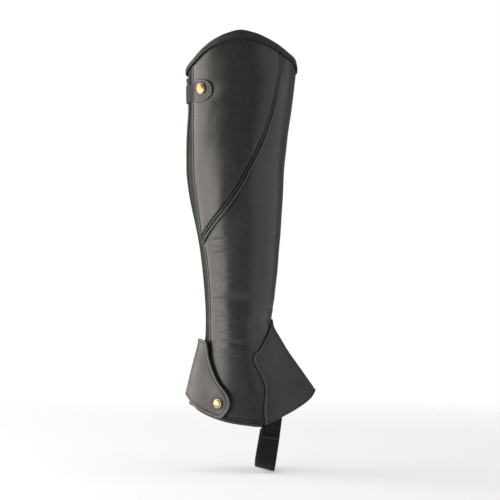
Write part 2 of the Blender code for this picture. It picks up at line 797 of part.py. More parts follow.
join = slider.modifiers.new("bridge", "BOOLEAN")
join.operation, join.object, join.solver = "UNION", arch, "EXACT"

hinge = bpy.data.objects.new("pull_axis", None)
axis = local(0, AXIS_U, AXIS_N)
hinge.location = tuple(axis * MM)
bpy.context.scene.collection.objects.link(hinge)


def pull_point(s, u, n):
    """Relative to the axis of the pull."""
    return side * s + up * u + out * n


# A flat tab with a window at its top, whose upper bar is the rod in the bridge.
ring = [(-2.9, ROD_R), (2.9, ROD_R), (2.9, -5.0), (2.4, -PULL_LEN + 1.2), (1.2, -PULL_LEN), (-1.2, -PULL_LEN), (-2.4, -PULL_LEN + 1.2), (-2.9, -5.0)]
pull = sweep("zip_pull", [[pull_point(s, u, n) for s, u in ring] for n in (-ROD_R, ROD_R)], *STEEL_LOOK)
window = sweep(
    "cut_window",
    [[pull_point(s, u, n) for s, u in [(-1.45, -ROD_R), (1.45, -ROD_R), (1.45, -4.6), (-1.45, -4.6)]] for n in (-2, 2)],
    *STEEL_LOOK,
)
window.hide_render = True
window.display_type = "WIRE"
cut = pull.modifiers.new("window", "BOOLEAN")
cut.operation, cut.object, cut.solver = "DIFFERENCE", window, "EXACT"
for obj in (pull, window):
    obj.parent = hinge

# ---- strap under the foot: a short tab inside each side of the hem, and a loop between them ----
TAB_FACE = -2.5
for name, sign in (("strap_tab_outer", 1), ("strap_tab_inner", -1)):
    grid = []
    for z, x0, x1 in [(-318.5, 25.6, 45.4), (-326.0, 24.8, 44.6), (-334.0, 24.0, 43.6), (-340.0, 23.3, 42.8), (-349.4, 22.1, 41.5)]:
        grid.append([place(x, z, TAB_FACE) for x in np.linspace(x0, x1, 5)])
    grid = np.array(grid)
    grid[..., 0] *= sign
    wall(name, grid, TAB_FACE - 1.5, TAB_FACE, *WEB_LOOK)

STRAP_W, STRAP_T = 21.2, 1.6
LOOP_TOP_Z, LOOP_LOW_Z, LOOP_CORNER, LOOP_LEAN = -344.6, -379.6, 13.0, 0.165
q, z = place(31.8, LOOP_TOP_Z, -0.5)
start = form(q, z, -0.5)
wall_way = form(q + 0.02, z) - form(q - 0.02, z)
wall_way[2] = 0
wall_way /= np.linalg.norm(wall_way)
path = []
side_y = -start[1]
low_corner = LOOP_LOW_Z + LOOP_CORNER
for k in np.linspace(0, 1, 4):
    path.append((-side_y + 0.6 * k, LOOP_TOP_Z + (low_corner - LOOP_TOP_Z) * k))
for a in np.radians([22.5, 45, 67.5, 90]):
    path.append((-side_y + 0.6 + LOOP_CORNER * (1 - math.cos(a)), low_corner - LOOP_CORNER * math.sin(a)))
path.append((-(side_y - LOOP_CORNER) / 2, LOOP_LOW_Z - 0.7))
path.append((0.0, LOOP_LOW_Z - 1.0))
path += [(-y, z) for y, z in path[-2::-1]]
centre = np.array([(start[0] + (z - LOOP_TOP_Z) * LOOP_LEAN, y, z) for y, z in path])
run = np.gradient(centre, axis=0)
run /= np.linalg.norm(run, axis=1, keepdims=True)
rings = []
for c, t in zip(centre, run):
    bottom = np.array([math.cos(math.radians(15)), 0, -math.sin(math.radians(15))])
    wide = wall_way * np.array([1, -1 if c[1] > 0 else 1, 1])
    flat = float(np.clip((LOOP_TOP_Z - c[2]) / (LOOP_TOP_Z - LOOP_LOW_Z), 0, 1)) ** 2
    way = wide * (1 - flat) + bottom * flat
    way -= t * np.dot(way, t)
    way /= np.linalg.norm(way)
    thick = np.cross(t, way)
    rings.append(
        [c + way * a * STRAP_W / 2 + thick * b * STRAP_T / 2 for a, b in ((-1, -1), (1, -1), (1, 1), (-1, 1))]
    )
sweep("strap_loop", rings, *WEB_LOOK)
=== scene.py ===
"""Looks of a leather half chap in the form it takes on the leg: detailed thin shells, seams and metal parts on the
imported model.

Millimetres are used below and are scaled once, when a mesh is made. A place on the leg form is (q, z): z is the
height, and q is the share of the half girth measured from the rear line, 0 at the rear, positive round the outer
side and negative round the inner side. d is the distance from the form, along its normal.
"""

import json
import math

import bpy
import numpy as np
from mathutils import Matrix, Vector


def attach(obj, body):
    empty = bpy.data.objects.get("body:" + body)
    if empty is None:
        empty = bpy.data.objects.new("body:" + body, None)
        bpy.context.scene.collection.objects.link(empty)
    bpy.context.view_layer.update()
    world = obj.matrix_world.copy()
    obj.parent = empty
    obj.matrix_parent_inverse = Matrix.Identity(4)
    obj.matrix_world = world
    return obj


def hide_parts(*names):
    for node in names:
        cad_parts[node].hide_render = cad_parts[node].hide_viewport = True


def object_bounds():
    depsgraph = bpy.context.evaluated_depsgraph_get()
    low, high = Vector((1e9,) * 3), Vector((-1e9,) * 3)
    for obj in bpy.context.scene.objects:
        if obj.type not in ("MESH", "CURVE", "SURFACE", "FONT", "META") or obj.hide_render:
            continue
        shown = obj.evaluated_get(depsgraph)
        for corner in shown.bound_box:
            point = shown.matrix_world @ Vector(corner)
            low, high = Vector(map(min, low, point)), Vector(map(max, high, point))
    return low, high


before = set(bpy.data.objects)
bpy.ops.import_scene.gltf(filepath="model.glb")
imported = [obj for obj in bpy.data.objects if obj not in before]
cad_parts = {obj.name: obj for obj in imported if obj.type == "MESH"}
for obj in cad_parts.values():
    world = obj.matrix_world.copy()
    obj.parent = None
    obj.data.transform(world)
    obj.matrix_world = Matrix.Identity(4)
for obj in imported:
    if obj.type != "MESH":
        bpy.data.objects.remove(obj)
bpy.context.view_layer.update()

MM = 0.001
LEATHER = 1.6
GAP = 0.4
LAP_RISE, LAP_UNDER = 2.1, 5.0
LAP_FLAT, LAP_RAMP = 6.5, 34.0
BINDING = 1.4
ELASTIC = 1.4
ZIP_Q = -0.105
CHAIN_W, TAPE_W = 6.0, 3.4
TAPE_EDGE = CHAIN_W / 2 + 0.3 + TAPE_W
SLIDER_Z, PULL_LEN = 31.0, 20.0
SNAP_R = 6.2
EDGE_IN = 2.4
STRIP_FACE = -0.5

# Cross-sections of the leg form, as in the model.
SECTIONS = [
    # z, rear, front, half, mid, n_rear, n_front
    (-352.0, -52.4, 116.0, 42.0, 15.0, 1.75, 1.30),
    (-314.5, -52.3, 92.0, 40.2, 11.0, 1.75, 1.30),
    (-298.5, -50.3, 80.8, 39.3, 9.0, 1.75, 1.30),
    (-282.5, -46.3, 69.6, 38.3, 6.5, 1.80, 1.32),
    (-266.5, -42.0, 58.2, 37.4, 4.0, 1.85, 1.38),
    (-250.5, -38.6, 46.8, 36.8, 2.0, 1.92, 1.50),
    (-240.9, -37.3, 40.2, 36.6, 0.5, 1.95, 1.65),
    (-232.4, -36.9, 35.0, 36.6, -0.5, 1.98, 1.82),
    (-223.9, -36.8, 33.4, 36.8, -1.0, 2.00, 1.95),
    (-213.2, -37.0, 34.5, 37.0, -1.0, 2.00, 2.00),
    (-191.9, -38.4, 36.8, 38.0, -1.0, 2.00, 2.00),
    (-170.6, -40.4, 39.3, 39.5, -1.0, 2.00, 2.00),
    (-149.2, -43.1, 41.1, 41.5, -1.5, 2.00, 2.00),
    (-127.9, -46.9, 42.9, 44.0, -2.5, 2.00, 1.97),
    (-106.6, -51.4, 43.9, 47.0, -4.0, 2.00, 1.95),
    (-85.3, -55.1, 45.2, 49.5, -5.0, 2.00, 1.94),
    (-64.0, -57.5, 46.8, 51.5, -5.0, 2.00, 1.94),
    (-42.6, -57.7, 49.2, 53.0, -4.0, 2.00, 1.95),
    (-21.3, -56.8, 51.7, 54.0, -2.5, 2.00, 1.96),
    (0.0, -55.4, 54.6, 55.0, -1.5, 2.00, 1.98),
    (26.7, -55.9, 57.6, 56.5, -0.5, 2.00, 2.00),
    (53.3, -56.4, 58.6, 57.5, 0.0, 2.00, 2.00),
    (92.0, -56.6, 58.6, 57.5, 0.0, 2.00, 2.00),
]
TOP_EDGE = [
    # q, z
    (0.0, 40.5),
    (0.167, 52.2),
    (0.25, 61.4),
    (0.333, 70.3),
    (0.417, 76.8),
    (0.5, 80.2),
    (0.583, 77.4),
    (0.667, 71.8),
    (0.75, 65.2),
    (0.833, 58.5),
    (0.917, 54.2),
    (1.0, 47.0),
    (1.1, 44.0),
    (1.5, 42.6),
    (1.9, 41.0),
    (2.0, 40.5),
]
TRIM_WIDTH = [(0.0, 4.0), (0.25, 5.3), (0.5, 8.6), (0.75, 6.4), (1.0, 6.6), (1.2, 5.6), (1.8, 5.0), (2.0, 4.0)]
REAR_EDGE = [
    # z, q
    (-352.0, 0.150),
    (-235.0, 0.153),
    (-200.0, 0.164),
    (-140.0, 0.160),
    (-100.0, 0.166),
    (-45.0, 0.164),
    (0.0, 0.138),
    (50.0, 0.140),
]
HEM = [
    # x, z seen square from the outer side
    (-48.8, -315.4),
    (-43.9, -319.4),
    (-28.8, -326.3),
    (-11.6, -331.0),
    (5.4, -333.4),
    (22.0, -335.0),
    (28.2, -333.3),
    (35.0, -330.1),
    (44.2, -326.0),
    (68.6, -312.8),
    (76.4, -306.8),
]
HEEL_HEM_Z, TOE_HEM_Z = -313.8, -298.9
CURVED_SEAM = [
    # x, z
    (46.2, 43.9),
    (42.9, 24.5),
    (38.7, 2.7),
    (35.1, -11.0),
    (30.0, -27.0),
    (20.9, -48.2),
    (12.2, -65.0),
    (4.0, -81.5),
    (-5.8, -96.6),
    (-14.4, -108.8),
    (-28.0, -125.8),
]
CURVED_SEAM_END_Z = -143.0
INSTEP_SEAM = [
    # x, z
    (32.0, -233.3),
    (26.8, -244.0),
    (21.0, -253.8),
    (15.0, -260.2),
    (14.9, -265.9),
    (18.0, -273.0),
    (23.4, -283.6),
    (26.6, -291.6),
    (26.9, -300.0),
    (25.8, -316.0),
]
INSTEP_TIP_Z = -224.4
FRONT_SEAM = [(-223.0, 1.004), (-200.0, 1.020), (-150.0, 1.050), (-60.0, 1.070), (60.0, 1.075)]
HEEL_FLAP_TOP = [
    # x, z
    (-42.8, -244.0),
    (-38.4, -244.6),
    (-36.0, -252.0),
    (-34.2, -262.0),
    (-28.8, -277.4),
    (-21.9, -289.6),
    (-15.0, -297.6),
    (-11.4, -303.6),
]
HEEL_FLAP_LOW = [
    # x, z
    (-55.6, -306.6),
    (-50.0, -313.2),
    (-42.0, -318.2),
    (-34.5, -321.8),
    (-26.0, -325.0),
    (-20.7, -325.9),
    (-16.4, -322.8),
]
HEEL_FLAP_END = [(-11.4, -303.6), (-10.2, -309.0), (-11.8, -316.6), (-16.4, -322.8)]
HEEL_SNAP = (-23.2, -310.6)
TAB = {"rear": -48.0, "low": 5.6, "top": 30.0, "tip": -28.9}
TOP_SNAP = (-40.8, 20.0)
BAND_Z, BAND_ROOT_Q = (6.6, 25.6), -0.31

# Creases of the worn leather: soft troughs with a low ridge beside them.
CREASES = [
    # q, z, half length, depth, half width, slope: the fine ones by the ankle on the outer side
    (0.33, -139.0, 9.0, 0.30, 1.5, 0.10),
    (0.30, -146.5, 7.0, 0.22, 1.2, -0.05),
    (0.36, -152.5, 10.0, 0.32, 1.5, 0.16),
    (0.29, -160.0, 6.0, 0.18, 1.2, 0.05),
    (0.33, -175.5, 11.0, 0.34, 1.6, -0.08),
    (0.38, -183.0, 7.0, 0.20, 1.3, 0.12),
    (0.30, -192.0, 8.0, 0.32, 1.4, 0.08),
    (0.35, -196.5, 9.0, 0.26, 1.2, -0.10),
    (0.31, -201.0, 10.0, 0.36, 1.3, 0.04),
    (0.37, -205.5, 7.0, 0.24, 1.2, 0.10),
    (0.32, -215.5, 9.0, 0.40, 1.4, -0.06),
    (0.36, -219.5, 8.0, 0.26, 1.2, 0.12),
    (0.30, -226.0, 6.0, 0.20, 1.2, 0.02),
    (0.35, -237.0, 7.0, 0.24, 1.3, 0.10),
    (0.33, -256.5, 9.0, 0.34, 1.4, 0.14),
    (0.36, -262.0, 10.0, 0.40, 1.5, 0.10),
    (0.32, -267.5, 7.0, 0.26, 1.2, 0.18),
    (0.40, -247.0, 12.0, 0.30, 2.2, -0.10),
    # broad soft ones on the outer side
    (0.55, -205.0, 30.0, 0.50, 6.0, -0.12),
    (0.72, -228.0, 22.0, 0.55, 4.5, 0.28),
    (0.80, -214.0, 16.0, 0.40, 3.5, 0.22),
    (0.62, -246.0, 20.0, 0.45, 5.0, 0.20),
    (0.45, -100.0, 40.0, 0.35, 9.0, 0.25),
    (0.60, -20.0, 34.0, 0.30, 11.0, -0.30),
    (0.36, 8.0, 24.0, 0.35, 7.0, 0.40),
    (0.85, -120.0, 26.0, 0.35, 8.0, 0.15),
    # the inner side, which folds a little more at the ankle
    (-0.30, -196.0, 24.0, 0.75, 3.6, 0.16),
    (-0.38, -209.0, 30.0, 0.95, 4.2, -0.10),
    (-0.28, -221.0, 20.0, 0.60, 3.2, 0.08),
    (-0.46, -226.0, 26.0, 0.80, 3.8, 0.20),
    (-0.62, -216.0, 24.0, 0.80, 4.0, 0.10),
    (-0.80, -222.0, 18.0, 0.85, 3.4, -0.14),
    (-0.72, -233.0, 20.0, 0.70, 3.6, -0.26),
    (-0.88, -209.0, 16.0, 0.60, 3.4, -0.10),
    (-0.55, -242.0, 26.0, 0.65, 4.8, -0.16),
    (-0.34, -245.0, 16.0, 0.50, 3.2, 0.12),
    (-0.68, -252.0, 18.0, 0.50, 4.0, -0.30),
    (-0.50, -168.0, 26.0, 0.45, 6.0, 0.18),
    (-0.74, -148.0, 30.0, 0.45, 8.0, -0.22),
    (-0.36, -120.0, 28.0, 0.45, 8.0, 0.30),
    (-0.60, -80.0, 40.0, 0.45, 11.0, 0.18),
    (-0.42, -38.0, 34.0, 0.40, 10.0, -0.25),
    (-0.75, -8.0, 36.0, 0.40, 11.0, 0.20),
    (-0.55, 18.0, 22.0, 0.35, 7.0, -0.35),
    (-0.36, -302.0, 18.0, 0.35, 4.5, 0.10),
    (-0.70, -288.0, 24.0, 0.40, 6.0, -0.20),
    # round the front, where the instep turns out
    (0.93, -229.0, 10.0, 0.35, 2.6, 0.20),
    (0.90, -262.0, 20.0, 0.35, 6.0, 0.50),
    (0.84, -292.0, 20.0, 0.30, 7.0, 0.40),
    (-0.92, -262.0, 20.0, 0.40, 6.0, -0.50),
]


def smooth(rows):
    """A smooth function through a table's (input, value) rows that doesn't overshoot them."""
    x, y = (np.array(c, float) for c in zip(*rows))
    h = np.diff(x)
    s = np.diff(y) / h
    m = np.concatenate([[s[0]], np.zeros(len(x) - 2), [s[-1]]])
    for i in range(1, len(x) - 1):
        if s[i - 1] * s[i] > 0:
            a, b = 2 * h[i] + h[i - 1], h[i] + 2 * h[i - 1]
            m[i] = (a + b) / (a / s[i - 1] + b / s[i])

    def value(at):
        at = np.clip(np.asarray(at, float), x[0], x[-1])
        i = np.clip(np.searchsorted(x, at) - 1, 0, len(h) - 1)
        t = (at - x[i]) / h[i]
        return (
            y[i] * (1 + 2 * t) * (1 - t) ** 2
            + m[i] * h[i] * t * (1 - t) ** 2
            + y[i + 1] * t * t * (3 - 2 * t)
            - m[i + 1] * h[i] * t * t * (1 - t)
        )

    return value


def ease(t):
    t = np.clip(t, 0, 1)
    return t * t * (3 - 2 * t)


# ---- the form: points and normals over height and share of the half girth ----
HEIGHTS = np.arange(SECTIONS[0][0], SECTIONS[-1][0] + 0.5, 1.0)
SHARES = np.linspace(0, 1, 241)


def make_form():
    columns = [smooth([(r[0], r[k]) for r in SECTIONS])(HEIGHTS) for k in range(1, 7)]
    # The tables above change slope at each row; a light average along the height takes that out of the highlights.
    kernel = np.exp(-((np.arange(-8, 9) / 4.0) ** 2))
    kernel /= kernel.sum()
    columns = [np.convolve(np.pad(c, 8, mode="reflect", reflect_type="odd"), kernel, "valid") for c in columns]
    t = np.linspace(0, math.pi, 721)
    points, girths = np.zeros((len(HEIGHTS), len(SHARES), 3)), np.zeros(len(HEIGHTS))
    for i, (rear, front, half, mid, n_rear, n_front) in enumerate(zip(*columns)):
        behind = t <= math.pi / 2
        n = np.where(behind, n_rear, n_front)
        c, s = np.abs(np.cos(t)) ** (2 / n), np.abs(np.sin(t)) ** (2 / n)
        x = np.where(behind, mid - (mid - rear) * c, mid + (front - mid) * c)
        y = -half * s
        run = np.concatenate([[0], np.cumsum(np.hypot(np.diff(x), np.diff(y)))])
        girths[i] = run[-1]
        points[i, :, 0] = np.interp(SHARES * run[-1], run, x)
        points[i, :, 1] = np.interp(SHARES * run[-1], run, y)
        points[i, :, 2] = HEIGHTS[i]
    points[:, [0, -1], 1] = 0
    normals = np.cross(np.gradient(points, axis=1), np.gradient(points, axis=0))
    normals[:, [0, -1], 1] = 0
    normals /= np.linalg.norm(normals, axis=2, keepdims=True)
    return points, normals, girths


POINTS, NORMALS, HALF_GIRTH = make_form()


def girth(z):
    return np.interp(z, HEIGHTS, HALF_GIRTH)


def relief(q, z):
    """How far the worn leather stands off the plain form, in mm: slow swells and the creases."""
    q = (q + 1) % 2 - 1
    g = girth(z)
    s = q * g
    out = 0.28 * np.sin(s / 17.0 + z / 41.0 + 0.6) * np.sin(z / 33.0 - s / 58.0 + 1.1)
    out = out + 0.16 * np.sin(s / 8.5 - z / 24.0) * np.sin(z / 19.0 + s / 31.0 + 2.0)
    for qc, zc, length, depth, width, slope in CREASES:
        gap = q - qc
        ds, dz = gap * g, z - zc
        along_it = (ds + slope * dz) / math.hypot(1, slope)
        across = (dz - slope * ds) / math.hypot(1, slope)
        bend = 0.9 * width * np.cos(along_it / (0.75 * length))
        across = across - bend + 0.5 * width
        fade = np.exp(-((along_it / length) ** 4))
        out = out + fade * depth * (
            -np.exp(-((across / width) ** 2))
            + 0.42 * np.exp(-(((across - 2.0 * width) / (1.3 * width)) ** 2))
            + 0.30 * np.exp(-(((across + 2.1 * width) / (1.5 * width)) ** 2))
        )
    # Calm at the top and hem edges, at the zip with its slider, and on the sharp ridge of the instep.
    calm = ease((top_line(q) - 10 - z) / 16) * ease((z - hem_line(q) - 6) / 14)
    calm = calm * ease((np.abs(q - ZIP_Q) * g - 8) / 10)
    calm = calm * (1 - ease((-226 - z) / 12) * (1 - ease(((1 - np.abs(q)) * g - 2) / 9)))
    # The shin stands a little fuller just under the top edge.
    full = 1.2 * np.exp(-(((z - 37) / 11) ** 2)) * ease((np.abs(q) - 0.66) / 0.28)
    full = full + 0.8 * ease((-52 - z) / 50) * ease((z + 222) / 22) * ease((np.abs(q) - 0.70) / 0.22)
    return out * calm + pinch(q, z) + full


def pinch(q, z):
    """The leather drawn in under the top binding, in mm."""
    q = (q + 1) % 2 - 1
    g = girth(z)
    slope = (top_line(q + 0.01) - top_line(q - 0.01)) / 0.02 / g
    steep = np.hypot(1, slope)
    below = (top_line(q) - trim_width(q % 2) * steep - z) / steep
    front = ease((np.abs(q) - 0.62) / 0.25)
    return -0.8 * (1 - front) * np.exp(-np.maximum(below, 0) / 6) * ease((np.abs(q - ZIP_Q) * g - 8) / 10)


def plain(q, z):
    """The point of the plain form, before creases."""
    return form(q, z, 0.0, creased=False)


def form(q, z, d=0.0, creased=True):
    """The point at distance d from the form, in mm."""
    q, z, d = np.broadcast_arrays(np.asarray(q, float), np.asarray(z, float), np.asarray(d, float))
    q = (q + 1) % 2 - 1
    i = np.clip(z - HEIGHTS[0], 0, len(HEIGHTS) - 1.001)
    j = np.clip(np.abs(q) * (len(SHARES) - 1), 0, len(SHARES) - 1.001)
    a, b = i.astype(int), j.astype(int)
    fa, fb = (i - a)[..., None], (j - b)[..., None]

    def read(table):
        return (
            table[a, b] * (1 - fa) * (1 - fb)
            + table[a + 1, b] * fa * (1 - fb)
            + table[a, b + 1] * (1 - fa) * fb
            + table[a + 1, b + 1] * fa * fb
        )

    p, n = read(POINTS), read(NORMALS)
    n /= np.linalg.norm(n, axis=-1, keepdims=True)
    if creased:
        d = d + relief(q, z)
    p = p + n * d[..., None]
    p[..., 1] *= np.where(q < 0, -1, 1)
    return p


def place(x, z, d=0.0):
    """(q, height on the form) of the point that is seen at x, z from the outer side, at distance d."""
    q, low = 0.5, z
    for _ in range(6):
        seen = form(SHARES, low, d, creased=False)
        q = float(np.interp(x, seen[:, 0], SHARES))
        low = low + z - float(form(q, low, d, creased=False)[2])
    return q, low


def along(points):
    """A smooth curve through (q, z) points, as a function from 0 to 1."""
    points = np.array(points, float)
    step = np.hypot(np.diff(points[:, 0]) * 150, np.diff(points[:, 1]))
    at = np.concatenate([[0], np.cumsum(step)])
    at /= at[-1]
    q, z = smooth(list(zip(at, points[:, 0]))), smooth(list(zip(at, points[:, 1])))
    return lambda t: np.stack([q(t), z(t)], axis=-1)


def patch(left, right, top, low):
    """A four-sided piece of the form from its edges: left and right run down it, top and low run across it."""

    def at(u, v):
        u, v = (np.asarray(k, float)[..., None] for k in np.broadcast_arrays(u, v))
        a, b, c, e = left(v[..., 0]), right(v[..., 0]), top(u[..., 0]), low(u[..., 0])
        corners = (
            (1 - u) * (1 - v) * left(0.0)
            + u * (1 - v) * right(0.0)
            + (1 - u) * v * left(1.0)
            + u * v * right(1.0)
        )
        return (1 - u) * a + u * b + (1 - v) * c + v * e - corners

    return at


top_line = smooth(TOP_EDGE)
top_table = top_line
trim_width = smooth(TRIM_WIDTH)
rear_q = smooth(REAR_EDGE)
front_q = smooth(FRONT_SEAM)
hem_places = [place(x, z, 0.8) for x, z in HEM]
hem_z = smooth([(0.0, HEEL_HEM_Z), *hem_places, (1.0, TOE_HEM_Z)])


def top_line(q):
    return top_table(np.asarray(q) % 2)


def hem_line(q):
    return hem_z(np.abs((np.asarray(q) + 1) % 2 - 1))


def top_of(q):
    return top_line(q) - EDGE_IN


def hem_of(q):
    return hem_line(q) + EDGE_IN


def edge_run(q0, q1, edge):
    return lambda t: np.stack(
        [q0 + (q1 - q0) * np.asarray(t, float), edge(q0 + (q1 - q0) * np.asarray(t, float))], axis=-1
    )


def down(q_at, edge_top, edge_low, n=24):
    """A line down the leg with q given by height, from the top edge to the hem."""
    high, low = 40.0, -330.0
    for _ in range(8):
        high, low = float(edge_top(q_at(high))), float(edge_low(q_at(low)))
    z = np.linspace(high, low, n)
    return along([(float(q_at(k)), k) for k in z])


def near(points, line):
    """Distance in mm from (q, z) places to a (q, z) line on the plain form, and how far along it the nearest is."""
    shape = points.shape[:-1]
    p = plain(points[..., 0], points[..., 1]).reshape(-1, 3)
    line = np.asarray(line, float)
    c = plain(line[:, 0], line[:, 1])
    seg = np.diff(c, axis=0)
    size = np.maximum((seg**2).sum(1), 1e-9)
    at = np.concatenate([[0], np.cumsum(np.sqrt(size))])
    best, where = np.empty(len(p)), np.empty(len(p))
    for k in range(0, len(p), 3000):
        w = p[k : k + 3000, None] - c[None, :-1]
        t = np.clip((w * seg).sum(2) / size, 0, 1)
        far = np.linalg.norm(w - t[..., None] * seg, axis=2)
        m = far.argmin(1)
        r = np.arange(len(m))
        best[k : k + 3000] = far[r, m]
        where[k : k + 3000] = at[m] + t[r, m] * np.sqrt(size[m])
    return best.reshape(shape), where.reshape(shape)


def inset(line, mm):
    """The (q, z) line moved sideways over the form: to the right of its direction seen from outside for mm > 0."""
    line = np.asarray(line, float)
    g = girth(line[:, 1])
    s, z = np.gradient(line[:, 0]) * g, np.gradient(line[:, 1])
    n = np.maximum(np.hypot(s, z), 1e-9)
    mm = np.broadcast_to(mm, len(line))
    return np.stack([line[:, 0] + mm * (z / n) / g, line[:, 1] - mm * (s / n)], axis=-1)


def evenly(line, step):
    """The (q, z) line resampled at even steps in mm."""
    line = np.asarray(line, float)
    c = plain(line[:, 0], line[:, 1])
    at = np.concatenate([[0], np.cumsum(np.linalg.norm(np.diff(c, axis=0), axis=1))])
    s = np.linspace(0, at[-1], max(2, int(round(at[-1] / step)) + 1))
    return np.stack([np.interp(s, at, line[:, 0]), np.interp(s, at, line[:, 1])], axis=-1)


def spread(span, step, fine=(True, True)):
    """Values from 0 to 1 over a span in mm, at about that step, closer together at the fine ends."""
    tight = np.array([0.0, 0.2, 0.45, 0.75, 1.15, 1.7, 2.5])
    start = tight if fine[0] else np.array([0.0])
    end = (span - tight)[::-1] if fine[1] else np.array([span])
    middle = np.linspace(start[-1], end[0], max(2, int(round((end[0] - start[-1]) / step)) + 1))
    return np.concatenate([start[:-1], middle, end[1:]]) / span


# ---- materials ----
def new_material(name):
    material = bpy.data.materials.new(name)
    material.use_nodes = True
    tree = material.node_tree
    shader = tree.nodes["Principled BSDF"]

    def node(kind, **values):
        n = tree.nodes.new(kind)
        for k, v in values.items():
            if k.startswith("in_"):
                key = k[3:]
                n.inputs[int(key) if key.isdigit() else key.replace("_", " ")].default_value = v
            else:
                setattr(n, k, v)
        return n

    return material, tree, shader, node


def ramp(node, tree, source, rows):
    r = node("ShaderNodeValToRGB")
    r.color_ramp.elements[0].position, r.color_ramp.elements[0].color = rows[0][0], (*rows[0][1], 1)
    r.color_ramp.elements[1].position, r.color_ramp.elements[1].color = rows[-1][0], (*rows[-1][1], 1)
    for at, colour in rows[1:-1]:
        e = r.color_ramp.elements.new(at)
        e.color = (*colour, 1)
    tree.links.new(source, r.inputs["Fac"])
    return r.outputs["Color"]


def toned(node, tree, colour, worn, dark, attribute="tone"):
    """The colour, lighter where the piece's tone is above 0 and darker where it is below. Above 0 the tone is a
    painted highlight on raised edges and ridges, partly real wear on rubbed edges; below 0 it is painted shade in
    grooves, under edges and round the snaps.
    """
    tone = node("ShaderNodeAttribute", attribute_name=attribute)
    up = node("ShaderNodeMath", operation="MAXIMUM", in_1=0.0)
    tree.links.new(tone.outputs["Fac"], up.inputs[0])
    light = node("ShaderNodeMix", data_type="RGBA")
    light.inputs[7].default_value = (*worn, 1)
    tree.links.new(up.outputs[0], light.inputs[0])
    tree.links.new(colour, light.inputs[6])
    less = node("ShaderNodeMath", operation="MULTIPLY", in_1=-1.0)
    tree.links.new(tone.outputs["Fac"], less.inputs[0])
    floor = node("ShaderNodeMath", operation="MAXIMUM", in_1=0.0)
    tree.links.new(less.outputs[0], floor.inputs[0])
    deep = node("ShaderNodeMix", data_type="RGBA")
    deep.inputs[7].default_value = (*dark, 1)
    tree.links.new(floor.outputs[0], deep.inputs[0])
    tree.links.new(light.outputs[2], deep.inputs[6])
    return deep.outputs[2]


def bump(node, tree, height, strength, distance, before=None):
    b = node("ShaderNodeBump", in_Strength=strength, in_Distance=distance)
    tree.links.new(height, b.inputs["Height"])
    if before is not None:
        tree.links.new(before, b.inputs["Normal"])
    return b.outputs["Normal"]


def noise(node, tree, vector, scale, detail=3.0, rough=0.55, distortion=0.0):
    n = node("ShaderNodeTexNoise", in_Scale=scale, in_Detail=detail, in_Roughness=rough, in_Distortion=distortion)
    tree.links.new(vector, n.inputs["Vector"])
    return n.outputs["Fac"]


def stretched(node, tree, vector, scale):
    m = node("ShaderNodeMapping")
    m.inputs["Scale"].default_value = scale
    tree.links.new(vector, m.inputs["Vector"])
    return m.outputs["Vector"]


